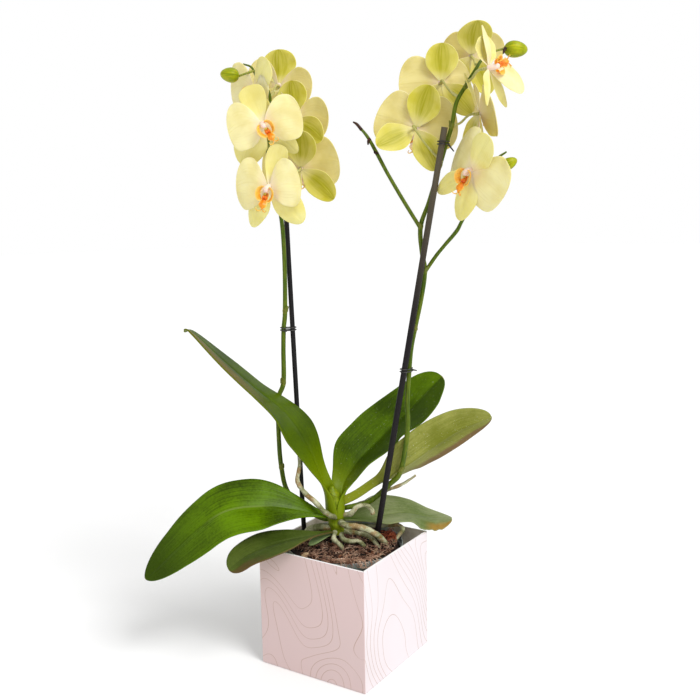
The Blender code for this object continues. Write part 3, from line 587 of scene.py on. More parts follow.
def leaf_finish(name, dark, light, rib=None, band=None, rim=None, base=None, dim=None, fade=None,
                gloss=0.36, specks=0.0):
    """A leaf's skin: parallel veins along the blade, cloudy greens, painted shade in its groove and a rim.

    rib is a colour and where it starts and ends along the keel, band a colour and where it comes in across
    and along the blade, base a colour for the leaf's foot, and dim and fade say where and how much the
    blade darkens across and along it. specks is how plainly pale dust shows.
    """
    leaf = Finish(name, Subsurface_Weight=0.06, Subsurface_Radius=(0.4, 0.8, 0.1), Subsurface_Scale=0.002,
                  Specular_IOR_Level=0.1)
    across, along = leaf.sheet()
    side = abs(across - 0.5) * 2.0
    cloud = leaf.noise(22.0, 3.0)
    streak = leaf.stretched(3.0, across * 55.0, along * 4.0)
    mottle = leaf.noise(420.0, 3.0)
    share = (cloud * 0.55 + streak * 0.3 + mottle * 0.15).rise(0.34, 0.66)
    if dim:
        low, high, amount = dim
        share = share * (1 - across.rise(low, high) * amount)
    if fade:
        low, high, amount = fade
        share = share * (1 - (along + cloud * 0.2 - 0.1).rise(low, high) * amount)
    colour = leaf.blend(dark, light, share)
    if base:
        colour = leaf.blend(colour, base, (along + cloud * 0.1 - 0.05).rise(0.26, 0.06) * 0.85)
    if band:
        spread = leaf.noise(2.0, 2.0, leaf.joined(across * 2.0, along * 3.0)) * 0.2
        tint, low, high, start, full = band
        mask = (across + spread).rise(low, high) * along.rise(start, full)
        colour = leaf.blend(colour, tint, mask * (streak * 0.5 + 0.5))
    if rib:
        tint, start, end = rib
        colour = leaf.blend(colour, tint, side.rise(0.05, 0.01) * along.rise(start, start + 0.08)
                            * along.rise(end, end - 0.12) * 0.8)
    # Painted shade: the blade darkens along the groove of its midrib.
    groove = side.rise(0.045, 0.005) * along.rise(0.1, 0.3)
    colour = leaf.blend(colour, dark, groove * 0.35)
    colour = leaf.blend(colour, rim or light, side.rise(0.965, 0.995) * 0.6)
    colour = leaf.blend(colour, tone(150, 142, 70), along.rise(0.97, 0.998) * 0.7)
    if specks:
        dust = leaf.noise(900.0, 1.0).rise(0.73, 0.77)
        colour = leaf.blend(colour, tone(220, 225, 200), dust * specks)
    vein = leaf.stretched(1.0, across * 40.0, along * 1.5)
    rough = streak * 0.12 + mottle * 0.08 + (gloss - 0.1)
    return leaf.finish(colour, rough, [(vein, 0.2, 0.001), (mottle, 0.08, 0.0006)])


def tepal_finish(name, cream, shade, heart=None, streaks=None):
    """A tepal's skin: fine veins that fan out along it, and a throat or a green heart."""
    skin = Finish(name, Roughness=0.48, Subsurface_Weight=0.35, Subsurface_Radius=(1.0, 0.9, 0.35),
                  Subsurface_Scale=0.0025, Specular_IOR_Level=0.3)
    across, along = skin.sheet()
    side = abs(across - 0.5) * 2.0
    cloud = skin.noise(45.0, 3.0)
    colour = skin.blend(cream, shade, cloud.rise(0.35, 0.75))
    vein = skin.stretched(2.0, across * 26.0, along * 1.6)
    colour = skin.blend(colour, shade, vein.rise(0.52, 0.7) * 0.55)
    if streaks:
        spine = (1 - side.rise(0.1, 0.85)) * along.rise(0.02, 0.3)
        ribbed = skin.stretched(2.0, across * 17.0, along * 1.2).rise(0.3, 0.7)
        colour = skin.blend(colour, streaks, spine * (ribbed * 0.55 + 0.45))
        colour = skin.blend(colour, tone(120, 125, 20), along.rise(0.86, 1.0) * side.rise(0.5, 0.0) * 0.5)
    if heart:
        colour = skin.blend(colour, heart, along.rise(0.24, 0.02) * 0.8)
    grain = skin.noise(2400.0, 2.0)
    return skin.finish(colour, bumps=[(vein, 0.14, 0.0006), (grain, 0.06, 0.0002)])


def stem_finish(name, low, high, freckles=None):
    """A flower stem: fine lengthwise streaks and small freckles."""
    stem = Finish(name, Subsurface_Weight=0.1, Subsurface_Scale=0.0015, Specular_IOR_Level=0.2)
    x, y, z = stem.split(stem.place())
    streak = stem.stretched(3.0, x * 900.0, y * 900.0, z * 60.0)
    freckle = stem.noise(700.0, 2.0)
    colour = stem.blend(low, high, (streak * 0.6 + stem.noise(35.0, 2.0) * 0.4).rise(0.36, 0.64))
    colour = stem.blend(colour, freckles or high, freckle.rise(0.62, 0.72) * 0.4)
    return stem.finish(colour, streak * 0.2 + 0.32, [(streak, 0.12, 0.0004)])


def crown_finish():
    """The crown's skin, with the thin dark scars that old leaves left round it."""
    crown = Finish("Trunk_skin", Subsurface_Weight=0.1, Subsurface_Scale=0.002, Specular_IOR_Level=0.2)
    x, y, z = crown.split(crown.place())
    cloud = crown.noise(60.0, 3.0)
    climb = (z + x * 0.55 + y * 0.2) / (SCAR_SPACING * MM) + cloud * 0.3
    scar = abs(climb.math("FRACT", climb) - 0.5).rise(0.05, 0.012)
    streak = crown.stretched(3.0, x * 700.0, y * 700.0, z * 50.0)
    share = (cloud * 0.5 + streak * 0.5).rise(0.35, 0.65)
    colour = crown.blend(tone(100, 118, 10), tone(130, 144, 22), share)
    colour = crown.blend(colour, tone(70, 74, 24), scar * 0.7)
    return crown.finish(colour, streak * 0.2 + 0.34, [(scar, -0.3, 0.0006), (streak, 0.1, 0.0004)])


def root_finish():
    """Silver root skin over green, with brown blotches and fine cracks."""
    root = Finish("Root_skin", Roughness=0.8, Specular_IOR_Level=0.25)
    blotch = root.noise(75.0, 4.0, distortion=0.6)
    fine = root.noise(900.0, 3.0)
    crack = root.add("ShaderNodeTexVoronoi", dict(feature="DISTANCE_TO_EDGE"),
                     {"Vector": root.place(), "Scale": 420.0})
    colour = root.blend(tone(112, 116, 74), tone(188, 188, 152), blotch.rise(0.36, 0.6))
    colour = root.blend(colour, tone(146, 108, 58), root.noise(85.0, 4.0).rise(0.52, 0.62) * 0.7)
    colour = root.blend(colour, tone(230, 230, 208), fine.rise(0.55, 0.75) * 0.5)
    colour = root.blend(colour, tone(84, 66, 42), crack.rise(0.08, 0.0) * 0.45)
    return root.finish(colour, fine * 0.2 + 0.65, [(blotch, 0.4, 0.0015), (fine, 0.35, 0.0004)])


def stake_finish(name, low, high, ridges, fade):
    """Plastic rod, darker low down, with drawn lines along it."""
    rod = Finish(name, Specular_IOR_Level=0.3)
    x, y, z = rod.split(rod.place())
    drawn = rod.stretched(2.0, x * ridges, y * ridges, z * 6.0)
    worn = rod.noise(160.0, 4.0)
    colour = rod.blend(low, high, (z + worn * 0.03).rise(*fade))
    colour = rod.blend(colour, tone(110, 100, 88), drawn.rise(0.6, 0.75) * worn.rise(0.4, 0.7) * 0.25)
    return rod.finish(colour, worn * 0.25 + 0.3, [(drawn, 0.3, 0.0008)])


def clip_finish():
    """Dark moulded plastic."""
    clip = Finish("Clip_plastic")
    worn = clip.noise(300.0, 3.0)
    return clip.finish(clip.blend(tone(38, 38, 38), tone(70, 68, 64), worn.rise(0.4, 0.7)), worn * 0.2 + 0.35)


def lip_finish(name, deep, bright, edge):
    """The lip's waxy skin, deep orange at the heart and yellow at the margins, with red flecks."""
    lip = Finish(name, Subsurface_Weight=0.3, Subsurface_Radius=(1.0, 0.5, 0.1), Subsurface_Scale=0.002,
                 Specular_IOR_Level=0.45)
    across, along = lip.sheet()
    side = abs(across - 0.5) * 2.0
    cloud = lip.noise(320.0, 3.0)
    colour = lip.blend(deep, bright, (cloud * 0.5 + along * 0.5).rise(0.3, 0.7))
    colour = lip.blend(colour, edge, side.rise(0.6, 0.95) * 0.8)
    fleck = lip.stretched(1.0, across * 16.0, along * 5.0).rise(0.62, 0.68)
    colour = lip.blend(colour, tone(150, 40, 10), fleck * side.rise(0.9, 0.4) * 0.5)
    return lip.finish(colour, cloud * 0.15 + 0.3, [(cloud, 0.15, 0.0004)])


def bud_finish():
    """Green bud skin with fine lengthwise lines and darker seams."""
    bud = Finish("Bud_skin", Subsurface_Weight=0.2, Subsurface_Scale=0.002, Specular_IOR_Level=0.2)
    across, along = bud.sheet()
    line = bud.stretched(2.0, across * 60.0, along * 1.5)
    thirds = across * 3.0
    seam = abs(thirds.math("FRACT", thirds) - 0.5).rise(0.045, 0.0)
    share = (line * 0.6 + bud.noise(90.0) * 0.4).rise(0.35, 0.65)
    colour = bud.blend(tone(122, 138, 8), tone(180, 182, 24), share)
    colour = bud.blend(colour, tone(92, 104, 10), seam * 0.7)
    colour = bud.blend(colour, tone(196, 190, 90), along.rise(0.75, 1.0) * 0.5)
    return bud.finish(colour, line * 0.15 + 0.35, [(line, 0.12, 0.0005), (seam, -0.4, 0.001)])


# ------------------------------------------------------------------ modelling
def clear_selection():
    """Goes back to object mode with nothing selected, so the next operator acts on its own piece."""
    if bpy.context.object and bpy.context.object.mode != "OBJECT":
        bpy.ops.object.mode_set(mode="OBJECT")
    bpy.ops.object.select_all(action="DESELECT")


def only(piece):
    """Makes this the one selected and active piece."""
    clear_selection()
    piece.select_set(True)
    bpy.context.view_layer.objects.active = piece


def named(name):
    """The piece that an operator has just added, under its own name."""
    made = bpy.context.object
    made.name = name
    made.data.name = name
    return made


def copy_of(piece, name):
    """A copy with its own mesh."""
    made = piece.copy()
    made.data = piece.data.copy()
    made.name = name
    made.data.name = name
    bpy.context.scene.collection.objects.link(made)
    return made


def edit(piece, kind, test):
    """Enters edit mode with the faces, edges or vertices for which the test holds selected."""
    only(piece)
    mesh = piece.data
    groups = dict(VERT=mesh.vertices, EDGE=mesh.edges, FACE=mesh.polygons)
    for group in groups.values():
        group.foreach_set("select", [False] * len(group))
    for element in groups[kind]:
        element.select = test(element)
    bpy.context.tool_settings.mesh_select_mode = [kind == each for each in groups]
    bpy.ops.object.mode_set(mode="EDIT")


def modified(piece, kind, **settings):
    """Adds a modifier with these settings and applies it."""
    only(piece)
    modifier = piece.modifiers.new(kind.title(), kind)
    for name, value in settings.items():
        setattr(modifier, name, value)
    bpy.ops.object.modifier_apply(modifier=modifier.name)


def smoothed(piece):
    """Rounds a piece by one step of subdivision."""
    modified(piece, "SUBSURF", levels=1, render_levels=1)


def rounded(piece, angle=40):
    """Shades a piece smooth but for edges sharper than the angle."""
    only(piece)
    bpy.ops.object.shade_smooth_by_angle(angle=math.radians(angle))


def welded(piece, outward=False):
    """Merges points that lie together, and turns the faces outwards where that is asked."""
    edit(piece, "VERT", lambda vertex: True)
    bpy.ops.mesh.remove_doubles(threshold=WELD)
    if outward:
        bpy.ops.mesh.normals_make_consistent(inside=False)
    clear_selection()


def dressed(piece, *finishes):
    """Puts these finishes in the piece's material slots, in their order."""
    piece.data.materials.clear()
    for finish in finishes:
        piece.data.materials.append(finish)


def one_piece(pieces, name):
    """Joins pieces into the first one, with its place in its mesh."""
    clear_selection()
    for piece in pieces:
        piece.select_set(True)
    bpy.context.view_layer.objects.active = pieces[0]
    bpy.ops.object.join()
    return named(name)


def placed_in_mesh(piece):
    """Moves the piece's place, turn and scale into its mesh."""
    only(piece)
    bpy.ops.object.transform_apply(location=True, rotation=True, scale=True)


def settle(piece, slot, *nodes):
    """Puts the finished piece on the object's one body, in place of the nodes that it stands for."""
    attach(piece, "root")
    if nodes:
        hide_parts(*nodes)


def flat_sheet(name, columns, rows):
    """A flat grid, one unit each way, with its place across and along kept as its UV map."""
    clear_selection()
    bpy.ops.mesh.primitive_grid_add(x_subdivisions=columns, y_subdivisions=rows, size=1)
    return named(name)


def laid(sheet, rule):
    """Puts each point of a flat sheet where the rule says, from its place across and along.

    Rows lie closer together towards the tip, which keeps its outline round.
    """
    for vertex in sheet.data.vertices:
        share = 1 - (0.5 - vertex.co.y) ** 1.5 if vertex.co.y < 0.5 else 1.0
        vertex.co = rule(2 * vertex.co.x, share)


def thickened(sheet, thickness):
    """Gives a laid sheet its thickness, its back in the second finish, and a soft rim."""
    welded(sheet)
    edit(sheet, "FACE", lambda face: True)
    bpy.ops.mesh.flip_normals()
    clear_selection()
    modified(sheet, "SOLIDIFY", thickness=thickness * MM, offset=0.0, material_offset=1,
             material_offset_rim=0)
    smoothed(sheet)
    only(sheet)
    bpy.ops.object.shade_smooth()


def meshed(curve, name):
    """The curve as a piece with a mesh."""
    made = bpy.data.objects.new(name, curve)
    bpy.context.scene.collection.objects.link(made)
    only(made)
    bpy.ops.object.convert(target="MESH")
    return named(name)


def tube(name, route, radii, count, sides=12, place=at, closed=False, even=False):
    """A round stem along a smooth route; its radius, in mm, may change.

    closed joins its ends, and even takes the points of the route just as they are.
    """
    clear_selection()
    curve = bpy.data.curves.new(name, "CURVE")
    curve.dimensions = "3D"
    curve.bevel_depth = MM
    curve.bevel_resolution = max(sides // 2 - 2, 0) // 2
    curve.use_fill_caps = True
    spline = curve.splines.new("POLY")
    spline.points.add(count - 1)
    spline.use_cyclic_u = closed
    for step, point in enumerate(route if even else smooth(route, count)):
        spline.points[step].co = (*place(point), 1.0)
        spline.points[step].radius = value_along(radii, step / (count - 1))
    made = meshed(curve, name)
    welded(made, outward=True)
    only(made)
    bpy.ops.object.shade_smooth()
    return made


def ribbon_rule(route, half, across, lift, place):
    """A rule that lays a sheet along a route; half gives the half-width and across its direction."""
    steps = 240
    rib = smooth(route, steps + 1)
    travel = [0.0]
    for here, there in zip(rib, rib[1:]):
        travel.append(travel[-1] + (there - here).length)

    def rule(side, share):
        goal = share * travel[-1]
        step = 0
        while step < steps - 1 and travel[step + 1] < goal:
            step += 1
        part = (goal - travel[step]) / (travel[step + 1] - travel[step])
        spot = rib[step].lerp(rib[step + 1], part)
        ahead = (rib[min(step + 2, steps)] - rib[max(step - 1, 0)]).normalized()
        sideways = across(ahead, (step + part) / steps)
        up = ahead.cross(sideways)
        return place(spot + half(side, share) * side * sideways + lift(side, share) * up)

    return rule


# ------------------------------------------------------------------ the settings a user would change
def colour_setting(name, description, colour):
    """A colour that a user can pick."""
    return FloatVectorProperty(name=name, description=description, subtype="COLOR", size=3, min=0, max=1,
                               default=colour)


class PlanterSettings(bpy.types.PropertyGroup):
    card_colour: colour_setting("Card", "Colour of the two whiter walls", tone(221, 213, 216))
    # The pinker colour is painted shade on the two walls that face y.
    card_painted_shade: colour_setting("Card painted shade", "Colour of the two pinker walls", tone(214, 190, 188))
    line_colour: colour_setting("Lines", "Colour of the printed contour lines", tone(168, 134, 112))
    inner_colour: colour_setting("Inside", "Colour of the bare inner wall", tone(252, 240, 224))
    wall: FloatProperty(name="Wall", description="Thickness of the card", subtype="DISTANCE", unit="LENGTH",
                        default=0.002, min=0.0005, max=0.004)


class PottingSettings(bpy.types.PropertyGroup):
    chips: IntProperty(name="Chips", description="How many bark chips lie on the mix", default=300, min=0)
    fibres: IntProperty(name="Fibres", description="How many loose fibres lie on the mix", default=520, min=0)
    bark: colour_setting("Bark", "Main colour of the bark", tone(76, 54, 43))
    seed: IntProperty(name="Seed", description="Gives another scatter of chips and fibres", default=7)


class PlantSettings(bpy.types.PropertyGroup):
    leaf_dark: colour_setting("Leaf, dark", "Darker green of the leaves", tone(48, 65, 0))
    leaf_light: colour_setting("Leaf, light", "Lighter green of the leaves", tone(93, 126, 0))
    stem: colour_setting("Stem", "Green of the flower stems", tone(96, 112, 26))


class FlowerSettings(bpy.types.PropertyGroup):
    cream: colour_setting("Cream", "Colour of the petals' fronts", tone(240, 229, 172))
    shade: colour_setting("Shade", "Colour of the petals' veins and hollows", tone(224, 209, 142))
    green: colour_setting("Green", "Colour of the sepals' backs", tone(160, 156, 8))
    orange: colour_setting("Orange", "Colour of the lip", tone(240, 140, 14))


class StageSettings(bpy.types.PropertyGroup):
    floor: colour_setting("Floor", "Colour of the floor", (0.93, 0.93, 0.93))
    sky: FloatProperty(name="Soft light", description="Strength of the light from all round", default=0.72)
    key: FloatProperty(name="Key light", description="Strength of the light from the right", default=2.1)


# ------------------------------------------------------------------ planter, pot and mix
class ORCHID_OT_planter(bpy.types.Operator):
    """Add the folded card planter"""
    bl_idname = "orchid.planter"
    bl_label = "Planter"

    def execute(self, context):
        settings = context.scene.orchid_planter
        low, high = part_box("planter_box")
        side = high.x - low.x
        clear_selection()
        bpy.ops.mesh.primitive_cube_add(size=side, location=(0, 0, side / 2))
        planter = named("Planter")
        placed_in_mesh(planter)
        edit(planter, "FACE", lambda face: face.normal.z > 0.9)
        bpy.ops.mesh.delete(type="ONLY_FACE")
        edit(planter, "EDGE", lambda edge: not is_open_rim(planter, edge, side))
        bpy.ops.mesh.bevel(offset=CARD_FOLD, segments=4, profile=0.6)
        clear_selection()
        modified(planter, "SOLIDIFY", thickness=settings.wall, offset=-1.0, use_even_offset=True)
        edit(planter, "EDGE", lambda edge: on_rim(planter, edge, side))
        bpy.ops.mesh.bevel(offset=CARD_CUT, segments=2)
        clear_selection()
        inside = plain_card_finish("Bare_card", settings.inner_colour, tone(206, 190, 170))
        cut = plain_card_finish("Cut_card", tone(246, 243, 243), tone(236, 230, 230))
        dressed(planter, card_finish(settings), inside, cut)
        reach = side / 2 - settings.wall * 0.6
        for face in planter.data.polygons:
            centre = face.center
            if centre.z > side - 0.0006:
                face.material_index = 2
            elif max(abs(centre.x), abs(centre.y)) < reach and centre.z > settings.wall * 0.6:
                face.material_index = 1
        rounded(planter)
        settle(planter, "card", "planter_box")
        return {"FINISHED"}


def is_open_rim(piece, edge, height):
    """Whether an edge runs round the open top."""
    return all(piece.data.vertices[index].co.z > height - RIM_BAND for index in edge.vertices)


def on_rim(piece, edge, height):
    """Whether an edge of the rim runs along a wall, on its outer or its inner side."""
    first, second = (piece.data.vertices[index].co for index in edge.vertices)
    flat = min(first.z, second.z) > height - RIM_BAND
    return flat and abs(max(abs(first.x), abs(first.y)) - max(abs(second.x), abs(second.y))) < 0.0008


class ORCHID_OT_pot(bpy.types.Operator):
    """Add the round nursery pot"""
    bl_idname = "orchid.pot"
    bl_label = "Nursery pot"

    def execute(self, context):
        low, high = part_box("nursery_pot")
        rim = high.x
        wall = rim - POT_RIM_STEP
        rise = high.z - POT_RIM_HEIGHT - low.z
        clear_selection()
        bpy.ops.mesh.primitive_circle_add(vertices=72, radius=POT_FOOT, fill_type="NGON",
                                          location=(0, 0, low.z))
        pot = named("Nursery_pot")
        placed_in_mesh(pot)
        edit(pot, "EDGE", lambda edge: True)
        shoulder = POT_FOOT + (wall - POT_FOOT) * rise / (high.z - low.z)
        # How much the open edge widens and how far it rises, from the foot to the rim's top.
        steps = [(shoulder / POT_FOOT, rise), ((rim - 0.0003) / shoulder, 0.0),
                 (rim / (rim - 0.0003), 0.0003), (1.0, POT_RIM_HEIGHT - 0.0006),
                 ((rim - 0.0004) / rim, 0.0003)]
        for widen, lift in steps:
            bpy.ops.mesh.extrude_edges_move(TRANSFORM_OT_translate=dict(value=(0, 0, lift)))
            bpy.ops.transform.resize(value=(widen, widen, 1), center_override=(0, 0, 0))
        clear_selection()
        modified(pot, "SOLIDIFY", thickness=POT_WALL, offset=-1.0)
        welded(pot, outward=True)
        rounded(pot, 50)
        dressed(pot, pot_finish())
        settle(pot, "pot_plastic", "nursery_pot")
        return {"FINISHED"}


def mix_height(reach, edge):
    """Height of the mix at a distance from the pot's middle, with the pot's wall at the edge."""
    return MIX_EDGE + (MIX_MIDDLE - MIX_EDGE) * (1 - min(reach / edge, 1.0) ** 4)


def chip_kinds():
    """Three odd-shaped chips, one unit long, to copy."""
    kinds = []
    for number, shape in enumerate([(1.0, 0.42, 0.2), (0.8, 0.6, 0.26), (1.1, 0.28, 0.16)]):
        clear_selection()
        bpy.ops.mesh.primitive_cube_add(size=1)
        chip = named(f"Chip_kind_{number}")
        chip.scale = shape
        placed_in_mesh(chip)
        edit(chip, "FACE", lambda face: True)
        bpy.ops.mesh.subdivide(number_cuts=1)
        bpy.ops.transform.vertex_random(offset=0.13, seed=number + 3)
        bpy.ops.mesh.select_all(action="SELECT")
        bpy.ops.mesh.bisect(plane_co=(0.36, 0, 0), plane_no=(1, 0.7, 0.1), clear_outer=True, use_fill=True)
        clear_selection()
        kinds.append(chip)
    return kinds


class ORCHID_OT_mix(bpy.types.Operator):
    """Add the potting mix with its bark chips and fibres"""
    bl_idname = "orchid.mix"
    bl_label = "Potting mix"

    def execute(self, context):
        settings = context.scene.orchid_potting
        low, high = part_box("potting_mix")
        edge = high.x
        dice = random.Random(settings.seed)
        clear_selection()
        depth = MIX_EDGE - low.z
        bpy.ops.mesh.primitive_cylinder_add(vertices=96, radius=edge, depth=depth,
                                            location=(0, 0, low.z + depth / 2))
        bed = named("Potting_mix")
        placed_in_mesh(bed)
        edit(bed, "FACE", lambda face: face.normal.z < -0.9)
        bpy.ops.transform.resize(value=(MIX_TAPER, MIX_TAPER, 1), center_override=(0, 0, 0))
        edit(bed, "FACE", lambda face: face.normal.z > 0.9)
        for ring in range(1, MIX_RINGS):
            before = mix_height(edge * (1 - (ring - 1) / MIX_RINGS), edge)
            after = mix_height(edge * (1 - ring / MIX_RINGS), edge)
            bpy.ops.mesh.inset(thickness=edge / MIX_RINGS)
            bpy.ops.transform.translate(value=(0, 0, after - before))
        clear_selection()
        for vertex in bed.data.vertices:
            if vertex.co.z > MIX_MIDDLE - 0.001:
                vertex.co.z += lumps(vertex.co, MIX_LUMPS) - MIX_SINK
        # The bed is near black: painted shade in the gaps between the chips and fibres.
        dressed(bed, bark_finish("Mix_bed_painted_shade", tone(16, 10, 9), tone(40, 27, 23), tone(84, 62, 50)))
        rounded(bed, 60)
        settle(bed, "bark_mix", "potting_mix")

        kinds = chip_kinds()
        browns = [
            bark_finish("Bark_brown", tone(28, 18, 15), settings.bark, tone(168, 134, 106)),
            bark_finish("Bark_red", tone(50, 27, 20), tone(108, 68, 48), tone(172, 128, 98)),
            bark_finish("Bark_pale", tone(140, 112, 84), tone(196, 166, 130), tone(232, 206, 170)),
        ]
        chips = []
        for number in range(settings.chips):
            reach = (edge - WALL_GAP) * math.sqrt(dice.random())
            angle = dice.uniform(0, math.tau)
            length = dice.uniform(*CHIP_LENGTHS)
            chip = copy_of(dice.choice(kinds), f"Chip_{number}")
            dressed(chip, dice.choices(browns, (6, 3, 1))[0])
            lift = mix_height(reach, edge) + dice.uniform(-0.0012, 0.0016)
            spot = Matrix.Translation((reach * math.cos(angle), reach * math.sin(angle), lift))
            turn = Matrix.Rotation(dice.uniform(0, math.tau), 4, "Z")
            tip = Matrix.Rotation(dice.gauss(0, 0.45), 4, "Y") @ Matrix.Rotation(dice.gauss(0, 0.5), 4, "X")
            chip.matrix_world = spot @ turn @ tip @ Matrix.Scale(length, 4)
            chips.append(chip)
        for kind in kinds:
            bpy.data.objects.remove(kind)
        bark = one_piece(chips, "Bark_chips")
        placed_in_mesh(bark)
        settle(bark, "bark_mix")

        fibres = coir("Coir_fibres", settings.fibres, edge, dice)
        dressed(fibres, bark_finish("Coir", tone(110, 72, 56), tone(196, 156, 130), tone(246, 222, 196)))
        settle(fibres, "bark_mix")
        tuft = coir("Coir_tuft", settings.fibres // 4, edge, dice, at(TUFT_PLACE))
        dressed(tuft, bark_finish("Coir_red", tone(92, 40, 26), tone(158, 82, 52), tone(204, 132, 92)))
        settle(tuft, "bark_mix")
        return {"FINISHED"}


def compass(angle):
    """The direction of an angle in the level plane."""
    return Vector((math.cos(angle), math.sin(angle)))


def coir(name, count, edge, dice, tuft=None):
    """Loose fibres that curl over the mix, every fourth over the front of the rim, or stand in a tuft."""
    clear_selection()
    curve = bpy.data.curves.new(name, "CURVE")
    curve.dimensions = "3D"
    curve.bevel_depth = FIBRE_RADIUS
    curve.bevel_resolution = 0
    for number in range(count):
        mound = 0.0
        if tuft:
            away = dice.gauss(0, TUFT_SPREAD)
            angle = dice.uniform(0, math.tau)
            spot = Vector((tuft.x + away * math.cos(angle), tuft.y + away * math.sin(angle)))
            mound = TUFT_HEIGHT * dice.random() * math.exp(-(away / 0.005) ** 2)
        else:
            angle = dice.uniform(0, math.tau)
            spot = compass(angle) * (edge - WALL_GAP) * math.sqrt(dice.random())
        limit = edge - 0.002
        heading = dice.uniform(0, math.tau)
        if not tuft and number % 4 == 0:
            angle = math.radians(SPILL_ANGLE + dice.uniform(-SPILL_SPREAD, SPILL_SPREAD))
            spot = compass(angle) * dice.uniform(edge - 0.006, edge + 0.001)
            limit = SPILL_REACH
            heading = angle + dice.gauss(0, 0.8)
            mound = 0.0014
        bend = dice.gauss(0, 0.9)
        stride = dice.uniform(*FIBRE_STRIDES)
        arch = dice.uniform(0.0, 0.004)
        spline = curve.splines.new("POLY")
        spline.points.add(FIBRE_STEPS)
        for step in range(FIBRE_STEPS + 1):
            reach = min(spot.length, limit)
            spot = spot.normalized() * reach
            lift = 0.0012 + mound + arch * math.sin(math.pi * step / FIBRE_STEPS)
            lift -= 0.9 * max(reach - DROOP_REACH, 0.0)
            spline.points[step].co = (*spot, mix_height(reach, edge) + lift, 1)
            spline.points[step].radius = dice.uniform(0.5, 1.2)
            spot = spot + compass(heading) * stride
            heading += bend * 0.6 + dice.gauss(0, 0.35)
    return meshed(curve, name)


# ------------------------------------------------------------------ crown, leaves and roots
class ORCHID_OT_crown(bpy.types.Operator):
    """Add the crown with its leaf scars"""
    bl_idname = "orchid.crown"
    bl_label = "Trunk"

    def execute(self, context):
        trunk = tube("Trunk", CROWN_ROUTE, CROWN_RADII, 60, sides=32)
        middle = at(CROWN_AXIS)
        for vertex in trunk.data.vertices:
            across = vertex.co - Vector((middle.x, middle.y, vertex.co.z))
            turn = math.atan2(across.y, across.x)
            climb = (vertex.co.z / MM + 5.5 * math.cos(turn + 0.9)) / SCAR_SPACING
            scar = climb - math.floor(climb)
            swell = 1.0 + 0.07 * eased(scar, 0.0, 0.75) * (1 - eased(scar, 0.86, 1.0)) - 0.03
            vertex.co += across * (swell - 1.0)
        smoothed(trunk)
        dressed(trunk, crown_finish())
        settle(trunk, "stem_green", "crown")
        return {"FINISHED"}


def leaf_half_width(share, leaf):
    """Half-width along a leaf: a stalk that opens into the blade, and a round tip."""
    opened = leaf["stalk"] + (leaf["half"] - leaf["stalk"]) * eased(share, leaf["narrow"], leaf["belly"])
    past = max(share - leaf["belly"], 0.0) / (1 - leaf["belly"])
    flare = CLASP_FLARE * (1 - eased(share, 0.04, 0.19)) if "clasp" in leaf else 0.0
    return opened * max(1 - past ** 2.3, 0.0) ** leaf.get("point", 0.5) + flare


def leaf_rule(leaf, seed):
    """Lays a leaf along its midrib, rolled about it, folded at the keel and a little wavy."""
    run = Vector(leaf["route"][-1]) - Vector(leaf["route"][0])
    heading = Vector((run.x, run.y, 0)).normalized()

    def clasp(share):
        return math.radians(leaf.get("clasp", 0)) * (1 - eased(share, 0.07, 0.235)) + 0.0001

    def across(ahead, share):
        steady = heading * 2 * (1 - eased(share, 0.1, 0.35)) if "clasp" in leaf else Vector()
        level = Vector((0, 0, 1)).cross(ahead + steady).normalized()
        level = (level - ahead * level.dot(ahead)).normalized()
        level.rotate(Matrix.Rotation(math.radians(value_along(leaf["roll"], share)), 3, ahead))
        return level

    def frill(side, share):
        """How far one margin has curled down, with a torn edge."""
        if "frill" not in leaf:
            return 0.0
        hand, start, end, depth = leaf["frill"]
        window = eased(share, start - 0.1, start) * (1 - eased(share, end, end + 0.1))
        torn = 1 + 0.5 * noise.noise((share * 30, 3.0, seed))
        return depth * torn * window * max(hand * side - 0.45, 0.0) ** 1.4 / 0.43

    def fold(share):
        return math.radians(value_along(leaf["fold"], share))

    def half(side, share):
        edge = 1 + 0.02 * math.sin(9 * share + seed + side)
        turn = clasp(share) * (abs(side) + 0.001)
        return leaf_half_width(share, leaf) * edge * math.cos(fold(share)) * math.sin(turn) / turn

    def lift(side, share):
        width = leaf_half_width(share, leaf)
        rise = abs(side) * math.sin(fold(share)) * width
        groove = -0.05 * min(width, 20) * math.exp(-(side / 0.09) ** 2)
        wave = 0.03 * width * side * side * math.sin(11 * share + 2.1 * seed + 1.3 * side)
        curl = width * (1 - math.cos(clasp(share) * side)) / clasp(share)
        return rise + groove + wave + curl - frill(side, share)

    return ribbon_rule(leaf["route"], half, across, lift, at)


